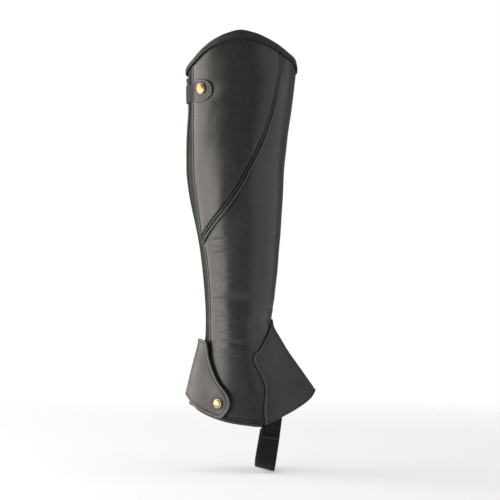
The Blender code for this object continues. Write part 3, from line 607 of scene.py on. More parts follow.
def leather(name, low, high, rough=(0.25, 0.34), worn=(0.13, 0.127, 0.12), grain=1.0, specular=0.5, coat=0.0, streaks=0.0):
    material, tree, shader, node = new_material(name)
    here = node("ShaderNodeTexCoord").outputs["Object"]
    cloudy = noise(node, tree, here, 22.0, 4.0, 0.6)
    patchy = noise(node, tree, here, 140.0, 3.0, 0.6)
    mix = node("ShaderNodeMix", data_type="FLOAT", in_0=0.45)
    tree.links.new(cloudy, mix.inputs[2])
    tree.links.new(patchy, mix.inputs[3])
    colour = ramp(node, tree, mix.outputs[0], [(0.32, low), (0.68, high)])
    if streaks:
        # The edge binding is scuffed in fine streaks along its run, given by the piece's own flat coordinates.
        flat = node("ShaderNodeAttribute", attribute_name="flat").outputs["Vector"]
        fine = noise(node, tree, stretched(node, tree, flat, (0.035, 0.9, 1.0)), 1.0, 5.0, 0.7)
        scuffed = ramp(node, tree, fine, [(0.50, (0, 0, 0)), (0.72, (1, 1, 1))])
        worn_mix = node("ShaderNodeMix", data_type="RGBA")
        worn_mix.inputs[7].default_value = (*worn, 1)
        share = node("ShaderNodeMath", operation="MULTIPLY", in_1=streaks)
        tree.links.new(scuffed, share.inputs[0])
        tree.links.new(share.outputs[0], worn_mix.inputs[0])
        tree.links.new(colour, worn_mix.inputs[6])
        colour = worn_mix.outputs[2]
    # The tone paints highlights on raised edges, partly wear, and shade in grooves, under lapped edges and round the
    # snaps.
    tree.links.new(toned(node, tree, colour, worn, (0.006, 0.006, 0.006)), shader.inputs["Base Color"])
    rough_noise = noise(node, tree, here, 70.0, 5.0, 0.65)
    r = node("ShaderNodeMapRange", in_3=rough[0], in_4=rough[1])
    r.inputs[1].default_value, r.inputs[2].default_value = 0.3, 0.7
    tree.links.new(rough_noise, r.inputs[0])
    tree.links.new(r.outputs[0], shader.inputs["Roughness"])
    shader.inputs["Specular IOR Level"].default_value = specular
    shader.inputs["Coat Weight"].default_value = coat
    shader.inputs["Coat Roughness"].default_value = 0.3
    # Grain: small rounded pebbles with fine valleys, a softer unevenness, and faint stretched wrinkles.
    warp = noise(node, tree, here, 900.0, 2.0)
    cells = node("ShaderNodeTexVoronoi", feature="DISTANCE_TO_EDGE", in_Scale=1150.0)
    tree.links.new(here, cells.inputs["Vector"])
    valley = node("ShaderNodeMapRange", in_3=0.0, in_4=1.0)
    valley.inputs[1].default_value, valley.inputs[2].default_value = 0.0, 0.22
    tree.links.new(cells.outputs["Distance"], valley.inputs[0])
    wrinkles = noise(node, tree, stretched(node, tree, here, (1.0, 1.0, 2.6)), 260.0, 4.0, 0.6, 0.6)
    slow = noise(node, tree, here, 24.0, 0.6, 0.4)
    normal = bump(node, tree, slow, 0.08 * grain, 0.004)
    normal = bump(node, tree, wrinkles, 0.05 * grain, 0.0007, normal)
    normal = bump(node, tree, warp, 0.05 * grain, 0.0003, normal)
    normal = bump(node, tree, valley.outputs[0], 0.14 * grain, 0.00011, normal)
    # Clusters of fine wrinkles where the leather has bent, on the pieces that have them.
    flat = node("ShaderNodeAttribute", attribute_name="flat").outputs["Vector"]
    fine = noise(node, tree, stretched(node, tree, flat, (0.11, 0.46, 1.0)), 1.0, 3.0, 0.6, 0.4)
    where = node("ShaderNodeAttribute", attribute_name="wrinkle")
    masked = node("ShaderNodeMath", operation="MULTIPLY")
    tree.links.new(fine, masked.inputs[0])
    tree.links.new(where.outputs["Fac"], masked.inputs[1])
    normal = bump(node, tree, masked.outputs[0], 1.0, 0.00045, normal)
    tree.links.new(normal, shader.inputs["Normal"])
    return material


def flesh(name):
    """The suede-like flesh side of the leather."""
    material, tree, shader, node = new_material(name)
    here = node("ShaderNodeTexCoord").outputs["Object"]
    fibres = noise(node, tree, here, 900.0, 4.0, 0.7)
    cloud = noise(node, tree, here, 60.0, 3.0)
    mix = node("ShaderNodeMix", data_type="FLOAT", in_0=0.5)
    tree.links.new(fibres, mix.inputs[2])
    tree.links.new(cloud, mix.inputs[3])
    colour = ramp(node, tree, mix.outputs[0], [(0.3, (0.024, 0.022, 0.020)), (0.7, (0.060, 0.055, 0.050))])
    tree.links.new(colour, shader.inputs["Base Color"])
    shader.inputs["Roughness"].default_value = 0.95
    shader.inputs["Specular IOR Level"].default_value = 0.2
    shader.inputs["Sheen Weight"].default_value = 0.3
    shader.inputs["Sheen Roughness"].default_value = 0.5
    tree.links.new(bump(node, tree, fibres, 0.5, 0.0004), shader.inputs["Normal"])
    return material


def woven(name, low, high, rough, across=1.1, along_mm=1.4, strength=0.5, sheen=0.25, specular=0.3):
    """A narrow fabric with picks across it; 'flat' holds each point's place on it in mm."""
    material, tree, shader, node = new_material(name)
    here = node("ShaderNodeTexCoord").outputs["Object"]
    flat = node("ShaderNodeAttribute", attribute_name="flat").outputs["Vector"]
    turn = 2 * math.pi
    picks = node("ShaderNodeTexWave", wave_type="BANDS", bands_direction="Y", in_Scale=turn / (20 * along_mm), in_Distortion=0.8, in_Detail=1.0, in_Detail_Scale=3.0)
    ribs = node("ShaderNodeTexWave", wave_type="BANDS", bands_direction="X", in_Scale=turn / (20 * across), in_Distortion=0.3, in_Detail=1.0)
    for w in (picks, ribs):
        tree.links.new(flat, w.inputs["Vector"])
    weave = node("ShaderNodeMath", operation="MULTIPLY")
    tree.links.new(picks.outputs["Fac"], weave.inputs[0])
    tree.links.new(ribs.outputs["Fac"], weave.inputs[1])
    fuzz = noise(node, tree, here, 1400.0, 3.0, 0.7)
    cloud = noise(node, tree, here, 90.0, 3.0)
    mix = node("ShaderNodeMix", data_type="FLOAT", in_0=0.45)
    tree.links.new(weave.outputs[0], mix.inputs[2])
    tree.links.new(cloud, mix.inputs[3])
    colour = ramp(node, tree, mix.outputs[0], [(0.1, low), (0.8, high)])
    # The tone paints highlights and shade onto the fabric: lighter rib tops and lit slivers, darker rib valleys, edges
    # and shadow lines.
    tree.links.new(toned(node, tree, colour, (0.10, 0.10, 0.095), (0.004, 0.004, 0.004)), shader.inputs["Base Color"])
    shader.inputs["Roughness"].default_value = rough
    shader.inputs["Specular IOR Level"].default_value = specular
    shader.inputs["Sheen Weight"].default_value = sheen
    shader.inputs["Sheen Roughness"].default_value = 0.45
    normal = bump(node, tree, weave.outputs[0], strength, 0.0003)
    normal = bump(node, tree, fuzz, 0.35, 0.0002, normal)
    tree.links.new(normal, shader.inputs["Normal"])
    return material


def simple(name, low, high, rough, metallic=0.0, scale=300.0, bumps=0.1, specular=0.5):
    material, tree, shader, node = new_material(name)
    here = node("ShaderNodeTexCoord").outputs["Object"]
    mottle = noise(node, tree, here, scale, 4.0, 0.6)
    tree.links.new(ramp(node, tree, mottle, [(0.3, low), (0.7, high)]), shader.inputs["Base Color"])
    shader.inputs["Metallic"].default_value = metallic
    shader.inputs["Specular IOR Level"].default_value = specular
    scratch = noise(node, tree, stretched(node, tree, here, (1.0, 3.0, 0.4)), scale * 2.2, 3.0)
    r = node("ShaderNodeMapRange", in_3=rough[0], in_4=rough[1])
    r.inputs[1].default_value, r.inputs[2].default_value = 0.35, 0.7
    tree.links.new(scratch, r.inputs[0])
    tree.links.new(r.outputs[0], shader.inputs["Roughness"])
    tree.links.new(bump(node, tree, mottle, bumps, 0.0001), shader.inputs["Normal"])
    return material


LEATHER_MAT = leather("leather_smooth", (0.026, 0.0245, 0.0225), (0.041, 0.039, 0.036))
INSTEP_MAT = leather("leather_instep", (0.028, 0.0275, 0.026), (0.042, 0.041, 0.039), rough=(0.42, 0.54), grain=1.1)
# The heel flap and the tab use a copy of the same black leather painted lighter: painted light for the brighter light
# their faces catch.
FLAP_LIT_MAT = leather("leather_flap", (0.056, 0.054, 0.0505), (0.082, 0.079, 0.074), rough=(0.40, 0.52), worn=(0.19, 0.185, 0.175))
BINDING_MAT = leather("binding_scuffed", (0.010, 0.0097, 0.0094), (0.019, 0.0185, 0.018), rough=(0.46, 0.62), specular=0.42, worn=(0.12, 0.118, 0.112), grain=0.8, streaks=0.45)
FLESH_MAT = flesh("leather_flesh_side")
ELASTIC_MAT = woven("elastic_ribbed", (0.014, 0.015, 0.0135), (0.038, 0.040, 0.035), 0.78, across=1.3, along_mm=1.1, sheen=0.08)
WEB_MAT = woven("webbing_black", (0.006, 0.006, 0.006), (0.017, 0.017, 0.017), 0.85, across=1.2, along_mm=1.5, sheen=0.12, specular=0.22)
TAPE_MAT = woven("zip_tape_weave", (0.007, 0.007, 0.007), (0.020, 0.020, 0.020), 0.85, across=0.8, along_mm=1.0, sheen=0.2)
THREAD_MAT = simple("thread", (0.030, 0.029, 0.027), (0.060, 0.058, 0.054), (0.55, 0.75), bumps=0.3, scale=2200.0, specular=0.35)
THREAD_LIGHT_MAT = simple("thread_light", (0.085, 0.083, 0.078), (0.15, 0.146, 0.138), (0.55, 0.75), bumps=0.3, scale=2200.0, specular=0.35)
# A near-black thread with almost no gloss: dark thread on the seams, and painted shade where its rows stand in for the
# shadow line on the elastic.
THREAD_DARK_AND_SHADE_MAT = simple("thread_black", (0.004, 0.004, 0.004), (0.009, 0.009, 0.0085), (0.85, 1.0), bumps=0.3, scale=2200.0, specular=0.05)
NYLON_MAT = simple("zip_nylon", (0.010, 0.010, 0.010), (0.020, 0.020, 0.020), (0.32, 0.45), bumps=0.05)
ZIP_METAL_MAT = simple("zip_dark_metal", (0.088, 0.088, 0.09), (0.112, 0.112, 0.114), (0.30, 0.38), metallic=0.9, scale=1500.0)
# Two copies of one brass: the heel snap's is painted brighter and the top snap's darker, as painted light and painted
# shade.
BRASS_LIT_MAT = simple("brass_worn", (0.45, 0.335, 0.16), (0.60, 0.465, 0.26), (0.24, 0.36), metallic=1.0, scale=420.0, bumps=0.12)
BRASS_SHADED_MAT = simple("brass_dull", (0.34, 0.245, 0.115), (0.47, 0.355, 0.185), (0.30, 0.42), metallic=1.0, scale=420.0, bumps=0.12)

# ---- mesh builders ----
triangles = {}


def make(name, points, faces, materials, body="chap", node=(), tone=None, flat=None, which=None, smooth_faces=True):
    mesh = bpy.data.meshes.new(name)
    mesh.from_pydata((np.asarray(points, float) * MM).tolist(), [], [list(f) for f in faces])
    for m in materials:
        mesh.materials.append(m)
    if which is not None:
        mesh.polygons.foreach_set("material_index", np.asarray(which, np.int32))
    if tone is not None:
        mesh.attributes.new("tone", "FLOAT", "POINT").data.foreach_set("value", np.asarray(tone, np.float32))
    if flat is not None:
        mesh.attributes.new("flat", "FLOAT_VECTOR", "POINT").data.foreach_set("vector", np.asarray(flat, np.float32).ravel())
    mesh.polygons.foreach_set("use_smooth", np.full(len(mesh.polygons), smooth_faces))
    mesh.update()
    obj = bpy.data.objects.new(name, mesh)
    bpy.context.scene.collection.objects.link(obj)
    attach(obj, body)
    if node:
        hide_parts(*([node] if isinstance(node, str) else node))
    triangles[name] = sum(len(f) - 2 for f in faces)
    return obj


def volume_sign(p, faces):
    total = 0.0
    for f in faces[:: max(1, len(faces) // 4000)]:
        a = p[f[0]]
        for i in range(1, len(f) - 1):
            total += np.dot(a, np.cross(p[f[i]], p[f[i + 1]]))
    return total


def quads(rows, cols, first=0, turn=False):
    at = np.arange(rows * cols).reshape(rows, cols) + first
    a, b, c, e = at[:-1, :-1], at[:-1, 1:], at[1:, 1:], at[1:, :-1]
    f = np.stack([a, e, c, b] if turn else [a, b, c, e], axis=-1).reshape(-1, 4)
    return f


def shell(name, grid, d_out, d_in, materials, node=(), tone=None, flat=None, body="chap", wrinkle=None):
    """A thin closed wall over a grid of (q, z): the outer face, the inner face and the edge between them."""
    rows, cols = grid.shape[:2]
    n = rows * cols
    d_out, d_in = np.broadcast_to(d_out, (rows, cols)), np.broadcast_to(d_in, (rows, cols))
    outside = form(grid[..., 0], grid[..., 1], d_out).reshape(-1, 3)
    inside = form(grid[..., 0], grid[..., 1], d_in).reshape(-1, 3)
    points = np.concatenate([outside, inside])
    # The outer face must look away from the leg.
    i, j = rows // 2, cols // 2
    k = i * cols + j
    face_normal = np.cross(outside[k + 1] - outside[k], outside[k + cols] - outside[k])
    turn = float(np.dot(face_normal, outside[k] - inside[k])) < 0
    outer = quads(rows, cols, 0, turn)
    inner = quads(rows, cols, n, not turn)
    at = np.arange(n).reshape(rows, cols)
    rim = list(at[0, :-1]) + list(at[:-1, -1]) + list(at[-1, :0:-1]) + list(at[:0:-1, 0])
    edge = []
    for a, b in zip(rim, rim[1:] + rim[:1]):
        edge.append([a, b, b + n, a + n] if turn else [b, a, a + n, b + n])
    faces = outer.tolist() + inner.tolist() + edge
    which = [0] * len(outer) + [min(1, len(materials) - 1)] * len(inner) + [0] * len(edge)
    values = np.zeros(2 * n)
    if tone is not None:
        values[:n] = np.broadcast_to(tone, (rows, cols)).ravel()
    if flat is None:
        flat = np.stack([grid[..., 0] * girth(grid[..., 1]), grid[..., 1], grid[..., 1] * 0], axis=-1)
    flat = np.asarray(flat, float).reshape(-1, 3)
    obj = make(name, points, faces, materials, body, node, values, np.concatenate([flat, flat]), which)
    if wrinkle is not None:
        share = np.concatenate([np.broadcast_to(wrinkle, (rows, cols)).ravel(), np.zeros(n)])
        obj.data.attributes.new("wrinkle", "FLOAT", "POINT").data.foreach_set("value", share.astype(np.float32))
    return obj


WRINKLES = [
    # q, z, half length in q, half height in mm, strength
    (0.335, -148.0, 0.060, 7.5, 0.8),
    (0.330, -176.0, 0.050, 4.0, 0.8),
    (0.335, -199.0, 0.060, 8.0, 1.0),
    (0.335, -218.0, 0.055, 4.5, 1.0),
    (0.350, -264.0, 0.070, 7.0, 1.0),
    (-0.36, -205.0, 0.120, 14.0, 0.8),
    (-0.62, -222.0, 0.120, 12.0, 0.8),
    (-0.84, -214.0, 0.080, 10.0, 0.7),
    (-0.40, -262.0, 0.090, 9.0, 0.6),
    (0.74, -226.0, 0.080, 8.0, 0.5),
]


def wrinkled(grid):
    """Where the fine wrinkles are, from 0 to 1."""
    q, z = (grid[..., 0] + 1) % 2 - 1, grid[..., 1]
    total = np.zeros(q.shape)
    for qc, zc, long, high, strength in WRINKLES:
        total += strength * np.exp(-(((q - qc) / long) ** 2) - ((z - zc) / high) ** 2)
    return np.clip(total, 0, 1)


def roll(distance, radius):
    """How far a rounded edge has fallen away at a distance from it."""
    k = np.clip(radius - distance, 0, radius)
    return radius - np.sqrt(np.maximum(radius**2 - k**2, 0))


def groove(distance, depth, width):
    return -depth * np.exp(-((distance / width) ** 2))


def outline(p, n=80):
    """The closed edge of a patch as a (q, z) line."""
    t = np.linspace(0, 1, n)
    zero, one = np.zeros(n), np.ones(n)
    return np.concatenate([p(t, zero), p(one, t)[1:], p(t, one)[::-1][1:], p(zero, t)[::-1][1:]])


def tube(name, rings, materials, node=(), body="chap", tone=None, flat=None, closed=False, smooth_faces=True):
    """A closed solid through rings of points, with flat ends unless it closes on itself."""
    rings = np.asarray(rings, float)
    count, k = rings.shape[:2]
    faces = []
    for i in range(count if closed else count - 1):
        for j in range(k):
            a, b = i * k + j, i * k + (j + 1) % k
            c, e = ((i + 1) % count) * k + (j + 1) % k, ((i + 1) % count) * k + j
            faces.append([a, b, c, e])
    if not closed:
        faces += [list(range(k))[::-1], [(count - 1) * k + j for j in range(k)]]
    points = rings.reshape(-1, 3)
    if volume_sign(points - points.mean(0), faces) < 0:
        faces = [f[::-1] for f in faces]
    return make(name, points, faces, materials, body, node, tone, flat, None, smooth_faces)


def frame_at(q, z, d, creased=True):
    """A point and the directions along the girth, up the leg and outward."""
    p = form(q, z, d, creased)
    out = form(q, z, d + 1, creased) - p
    out /= np.linalg.norm(out)
    side = form(q + 0.01, z, d, creased) - p
    side -= out * np.dot(side, out)
    side /= np.linalg.norm(side)
    up = np.cross(out, side)
    return p, side, up * (1 if up[2] > 0 else -1), out


STITCH_RING = [(math.cos(a), math.sin(a)) for a in np.arange(6) * math.tau / 6]
STITCH_RUN = [(0.0, 0.42, -0.45), (0.16, 0.88, 0.10), (0.5, 1.0, 0.30), (0.84, 0.88, 0.10), (1.0, 0.42, -0.45)]


def stitches(name, lines, pitch=3.4, length=2.6, radius=0.36, material=None, sunk=0.12):
    """Rows of stitches. Each line is rows of (q, z, d), where d is the height of the leather's face there."""
    points, faces = [], []
    for line in lines:
        line = np.asarray(line, float)
        c = form(line[:, 0], line[:, 1], line[:, 2])
        up = form(line[:, 0], line[:, 1], line[:, 2] + 1.0) - c
        at = np.concatenate([[0], np.cumsum(np.linalg.norm(np.diff(c, axis=0), axis=1))])
        count = max(1, int(at[-1] / pitch))
        step = at[-1] / count

        def read(s):
            return np.array([np.interp(s, at, c[:, k]) for k in range(3)]), np.array([np.interp(s, at, up[:, k]) for k in range(3)])

        for k in range(count):
            s0 = k * step + (step - length) / 2
            a, n0 = read(s0)
            b, n1 = read(s0 + length)
            way = b - a
            if np.linalg.norm(way) < 0.3:
                continue
            n = (n0 + n1) / np.linalg.norm(n0 + n1)
            way_n = way / np.linalg.norm(way)
            side = np.cross(way_n, n)
            side /= np.linalg.norm(side)
            # Each stitch lies a little aslant, as on a lock-stitched seam.
            slant = side * 0.10
            base = len(points)
            for t, r, h in STITCH_RUN:
                m = a + way * t + slant * (t - 0.5) * 2 + n * (radius * (h + 0.2) - sunk)
                for x, y in STITCH_RING:
                    points.append(m + (side * x + n * y * 0.85) * radius * r)
            for i in range(len(STITCH_RUN) - 1):
                for j in range(6):
                    p0, p1 = base + i * 6 + j, base + i * 6 + (j + 1) % 6
                    faces.append([p0, p1, p1 + 6, p0 + 6])
            faces.append([base + j for j in range(6)][::-1])
            last = base + (len(STITCH_RUN) - 1) * 6
            faces.append([last + j for j in range(6)])
    points = np.array(points)
    first = faces[: 4 * 6 + 2]
    own = points[: 5 * 6]
    if volume_sign(own - own.mean(0), first) < 0:
        faces = [f[::-1] for f in faces]
    return make(name, points, faces, [material or THREAD_MAT])


def sheet_facts(name, grid, extra=1.0):
    """The cut's area in m2 and its greatest width and length in m, laid flat, from the plain form."""
    p = plain(grid[..., 0], grid[..., 1])
    a, b = p[1:, 1:] - p[:-1, :-1], p[1:, :-1] - p[:-1, 1:]
    area = np.linalg.norm(np.cross(a, b), axis=2).sum() / 2 * extra
    width = np.linalg.norm(np.diff(p, axis=1), axis=2).sum(1).max()
    length = np.linalg.norm(np.diff(p, axis=0), axis=2).sum(0).max()
    cuts[name] = {"width_mm": round(float(width), 1), "length_mm": round(float(length), 1), "area_cm2": round(float(area) / 100, 1)}
    return area * 1e-6, width * MM, length * MM


cuts = {}


def declare(obj, grid, extra=1.0):
    area, width, length = sheet_facts(obj.name, grid, extra)
    width, length = max(width, 0.0101), max(length, 0.0101)
    share = area / (width * length)
    if share < 0.31:
        width = max(0.0101, area / (0.4 * length))
    if share > 1:
        length = area / width


# ---- seam lines ----
half = GAP / 2
seam_points = [place(x, z, 1.6) for x, z in CURVED_SEAM]
seam_top_q = place(46.3, 50.0, 0.5)[0]
seam_end = (float(rear_q(CURVED_SEAM_END_Z)), CURVED_SEAM_END_Z)
instep_points = [place(x, z, 1.8) for x, z in INSTEP_SEAM]
instep_low_q = place(24.4, -326.0, 1.0)[0]
instep_corner = (instep_low_q, float(hem_z(instep_low_q)) + 0.6)


def moved(points, mm, limit=None):
    mm = np.broadcast_to(mm, len(points))
    out = [(q + m / girth(z), z) for (q, z), m in zip(points, mm)]
    return out if limit is None else [(min(q, limit - GAP / girth(z)), z) for q, z in out]


def lap(distance):
    return 1 - ease((np.asarray(distance, float) - LAP_FLAT) / LAP_RAMP)


calf_front = along([(seam_top_q, float(top_of(seam_top_q))), *seam_points, (seam_end[0] + 0.012, seam_end[1])])
calf_rear = along(
    [
        (float(rear_q(z)) + half / girth(z), z)
        for z in np.linspace(float(top_of(0.14)), seam_end[1] + 0.6, 24)
    ]
)
calf = patch(
    calf_rear,
    calf_front,
    edge_run(float(calf_rear(0.0)[0]), seam_top_q, top_of),
    along([tuple(calf_rear(1.0)), tuple(calf_front(1.0))]),
)
CALF_EDGE = calf_front(np.linspace(0, 1, 110))
CALF_REAR = calf_rear(np.linspace(0, 1, 60))


def calf_rise(qz):
    """Height of the calf panel's face, from its lap over the shin panel."""
    distance, run = near(qz, CALF_EDGE)
    total = near(CALF_EDGE[-1:], CALF_EDGE)[1][0]
    span = np.maximum(0, (total - run)) * 0.9
    under_trim = ease((top_of(qz[..., 0]) - qz[..., 1] - 4) / 40)
    toward_point = 0.9 + 0.1 * np.clip(span / 30, 0, 1)
    return lap(distance) * under_trim * toward_point * LAP_RISE, distance, run


# ---- calf panel ----
v = spread(205.0, 1.35)
u = spread(118.0, 1.35)
u, v = np.meshgrid(u, v)
grid = calf(u, v)
rise, to_front, run = calf_rise(grid)
to_rear, rear_run = near(grid, CALF_REAR)
to_any, _ = near(grid, outline(calf))
pucker = 0.10 * np.exp(-to_front / 7) * np.sin(run / 2.9 + 0.7 * np.sin(run / 11)) + 0.08 * np.exp(-to_rear / 6) * np.sin(rear_run / 3.1)
face = (
    rise
    - roll(to_any, 0.75)
    + groove(to_front - 3.1, 0.80, 0.85)
    + groove(to_front - 5.9, 0.80, 0.85)
    + 0.22 * np.exp(-(((to_front - 1.6) / 0.9) ** 2))
    + 0.20 * np.exp(-(((to_front - 4.5) / 0.8) ** 2))
    + groove(to_rear - 3.0, 0.50, 0.95)
    + 0.22 * np.exp(-(((to_rear - 1.2) / 1.0) ** 2))
    + pucker * ease(to_any / 1.5)
)
# Painted shade in the two seam grooves, the rear stitch groove and along the rear edge; painted highlights on the
# ridge between the seam rows and on the lapped edge, which is partly a rubbed edge.
tone = (
    -1.3 * np.exp(-(((to_front - 3.1) / 1.0) ** 2))
    - 1.3 * np.exp(-(((to_front - 5.9) / 1.0) ** 2))
    + 0.35 * np.exp(-(((to_front - 4.5) / 0.6) ** 2))
    - 1.0 * np.exp(-(((to_rear - 3.0) / 1.1) ** 2))
    + 0.35 * np.exp(-(((to_front - 0.8) / 1.0) ** 2))
    - 0.30 * np.exp(-((to_rear / 2.6) ** 2))
)
panel_calf = shell("calf_panel", grid, face, rise - LEATHER + roll(to_any, 0.35), [LEATHER_MAT, FLESH_MAT], "panel_calf", tone, wrinkle=wrinkled(grid))
declare(panel_calf, grid)

line = inset(evenly(CALF_EDGE, 1.0), 3.1)
line = line[(line[:, 1] < top_line(line[:, 0]) - 8.5) & (line[:, 1] > seam_end[1] + 2)]
line2 = inset(evenly(CALF_EDGE, 1.0), 5.9)
line2 = line2[(line2[:, 1] < top_line(line2[:, 0]) - 8.5) & (line2[:, 0] > rear_q(line2[:, 1]) + 0.024)]


def with_height(line, height):
    return np.column_stack([line, np.broadcast_to(height, len(line))])


stitches(
    "stitching_calf_seam",
    [with_height(k, calf_rise(k)[0] - 0.52) for k in (line, line2)],
    pitch=3.0,
    length=2.45,
    radius=0.50,
    material=THREAD_DARK_AND_SHADE_MAT,
)

# ---- shin panel ----
under = np.full(len(seam_points), LAP_UNDER)
width_left = np.array([(q - seam_end[0]) * girth(z) for q, z in seam_points])
under = np.minimum(under, np.clip(width_left * 0.35, 0, LAP_UNDER))
shin_rear_points = (
    [(seam_top_q - LAP_UNDER / girth(50.0), float(top_of(seam_top_q)))]
    + [(q + (2 * GAP if w < 0.5 else -w) / girth(z), z) for (q, z), w in zip(seam_points, under)]
    + [(seam_end[0] + half / girth(z), z) for z in (seam_end[1] - 1.2,)]
    + [(float(rear_q(z)) + half / girth(z), z) for z in np.linspace(seam_end[1] - 14, float(hem_of(0.15)), 14)]
)
front_points = [(float(front_q(z)), z) for z in np.linspace(float(top_of(1.075)), INSTEP_TIP_Z + 1, 16)]
shin_front_points = (
    [(q - half / girth(z), z) for q, z in front_points]
    + moved(instep_points, LAP_UNDER, limit=1.0)
    + [(instep_low_q + LAP_UNDER / girth(-330), float(hem_of(instep_low_q + 0.04)))]
)
shin_rear, shin_front = along(shin_rear_points), along(shin_front_points)
shin = patch(
    shin_rear,
    shin_front,
    edge_run(float(shin_rear(0.0)[0]), float(shin_front(0.0)[0]), top_of),
    edge_run(float(shin_rear(1.0)[0]), float(shin_front(1.0)[0]), hem_of),
)
u, v = np.meshgrid(spread(105.0, 1.35), spread(395.0, 1.6))
grid = shin(u, v)
REAR_LOW = np.array([(float(rear_q(z)) + half / girth(z), z) for z in np.linspace(seam_end[1] - 2, -318, 90)])
FRONT_LINE = np.array([(float(front_q(z)), z) for z in np.linspace(41, INSTEP_TIP_Z + 2, 90)])
INSTEP_EDGE = along([(1 - 3.0 / girth(INSTEP_TIP_Z), INSTEP_TIP_Z), *instep_points, instep_corner])(np.linspace(0, 1, 90))
to_rear, rear_run = near(grid, REAR_LOW)
to_front, front_run = near(grid, FRONT_LINE)
to_instep, _ = near(grid, INSTEP_EDGE)
to_calf, calf_run = near(grid, CALF_EDGE)
to_any, _ = near(grid, outline(shin))
# By the top edge the shin panel dips under the calf panel instead of the calf panel rising over it.
edge_q = np.interp(grid[..., 1], CALF_EDGE[::-1, 1], CALF_EDGE[::-1, 0])
beyond = np.where(grid[..., 0] < edge_q, -to_calf, to_calf)
calf_lift = np.interp(grid[..., 1], CALF_EDGE[::-1, 1], calf_rise(CALF_EDGE)[0][::-1])
sink = np.maximum(0, LEATHER + 0.12 - calf_lift) * (1 - ease((beyond - 0.3) / 5.0)) * (grid[..., 1] > seam_end[1] + 30)
face = (
    -sink
    - roll(to_any, 0.7)
    + groove(to_rear - 3.0, 0.50, 0.95)
    + 0.22 * np.exp(-(((to_rear - 1.2) / 1.0) ** 2))
    + groove(to_front - 2.2, 0.22, 0.7)
    + 0.08 * np.exp(-to_rear / 6) * np.sin(rear_run / 3.1 + 1.0)
    - 0.10 * np.exp(-((to_calf / 2.5) ** 2)) * (1 + 0.5 * np.sin(calf_run / 3.3))
)
# Painted shade in the rear stitch groove and along the rear edge, a painted shadow beside the lapped calf edge that
# grows darker lower down, a painted shadow under the instep's edge, and painted shade in the front stitch groove.
tone = (
    -1.0 * np.exp(-(((to_rear - 3.0) / 1.1) ** 2))
    - 0.30 * np.exp(-((to_rear / 2.6) ** 2))
    - (0.15 + 1.05 * ease((5 - grid[..., 1]) / 85)) * np.exp(-((to_calf / 1.5) ** 2))
    - 0.9 * np.exp(-((to_instep / 1.4) ** 2))
    - 0.4 * np.exp(-(((to_front - 2.2) / 0.8) ** 2))
)
panel_shin = shell("shin_panel", grid, face, -LEATHER - sink + roll(to_any, 0.35), [LEATHER_MAT, FLESH_MAT], "panel_shin", tone, wrinkle=wrinkled(grid))
declare(panel_shin, grid)

# The single row beside the elastic runs on from the calf panel onto the shin panel.
rear_all = np.array([(float(rear_q(z)) + (half + 3.0) / girth(z), z) for z in np.linspace(-316.0, 43.0, 360)])
on_calf = rear_all[rear_all[:, 1] > seam_end[1] + 3]
on_shin = rear_all[rear_all[:, 1] < seam_end[1] - 2]
stitches(
    "stitching_rear_edge",
    [with_height(on_calf, calf_rise(on_calf)[0] - 0.22), with_height(on_shin, -0.22)],
    pitch=2.9,
    length=2.1,
    radius=0.52,
    material=THREAD_DARK_AND_SHADE_MAT,
)

# ---- inner panel ----
def beside_zip(mm):
    return lambda z: ZIP_Q - mm / girth(z)


inner_rear = down(beside_zip(TAPE_EDGE + 0.3), top_of, hem_of)
inner_front = along(
    [(q - 2 + half / girth(z), z) for q, z in front_points]
    + [(-q, z) for q, z in moved(instep_points, LAP_UNDER, limit=1.0)]
    + [(-instep_low_q - LAP_UNDER / girth(-330), float(hem_of(instep_low_q + 0.04)))]
)
inner = patch(
    inner_rear,
    inner_front,
    edge_run(float(inner_rear(0.0)[0]), float(inner_front(0.0)[0]), top_of),
    edge_run(float(inner_rear(1.0)[0]), float(inner_front(1.0)[0]), hem_of),
)
u, v = np.meshgrid(spread(150.0, 1.6), spread(375.0, 1.7))
grid = inner(u, v)
ZIP_LINE = inner_rear(np.linspace(0, 1, 90))
to_zip, zip_run = near(grid, ZIP_LINE)
front_line = FRONT_LINE - np.array([2.0, 0.0])
to_front, _ = near(grid, front_line)
INSTEP_INNER = INSTEP_EDGE * np.array([-1.0, 1.0])
to_instep, _ = near(grid, INSTEP_INNER)
to_any, _ = near(grid, outline(inner))
face = (
    -roll(to_any, 0.7)
    + groove(to_zip - 3.0, 0.32, 0.75)
    + 0.20 * np.exp(-(((to_zip - 1.2) / 1.0) ** 2))
    + groove(to_front - 2.2, 0.22, 0.7)
    + 0.12 * np.exp(-to_zip / 8) * np.sin(zip_run / 4.1 + 0.8 * np.sin(zip_run / 17))
)
# Painted shade in the zip-side stitch groove, under the instep's edge and in the front stitch groove, and a painted
# highlight on the edge by the zip.
tone = (
    -0.6 * np.exp(-(((to_zip - 3.0) / 0.8) ** 2))
    + 0.22 * np.exp(-((to_zip / 1.2) ** 2))
    - 0.8 * np.exp(-((to_instep / 1.2) ** 2))
    - 0.4 * np.exp(-(((to_front - 2.2) / 0.8) ** 2))
)
panel_inner = shell("inner_panel", grid, face, -LEATHER + roll(to_any, 0.35), [LEATHER_MAT, FLESH_MAT], "panel_inner", tone, wrinkle=wrinkled(grid))
declare(panel_inner, grid)

zip_row = np.array([(ZIP_Q - (TAPE_EDGE + 3.3) / girth(z), z) for z in np.linspace(-306.0, 33.0, 340)])
front_rows = [
    np.array([(float(front_q(z)) + s * 2.2 / girth(z), z) for z in np.linspace(INSTEP_TIP_Z + 6, 34.0, 250)]) for s in (-1, 1)
]
stitches("stitching_zip_edge", [with_height(zip_row, -0.22)], pitch=3.1, length=2.3, radius=0.38)
stitches("stitching_front_seam", [with_height(k, -0.14) for k in front_rows], pitch=3.1, length=2.3, radius=0.32)

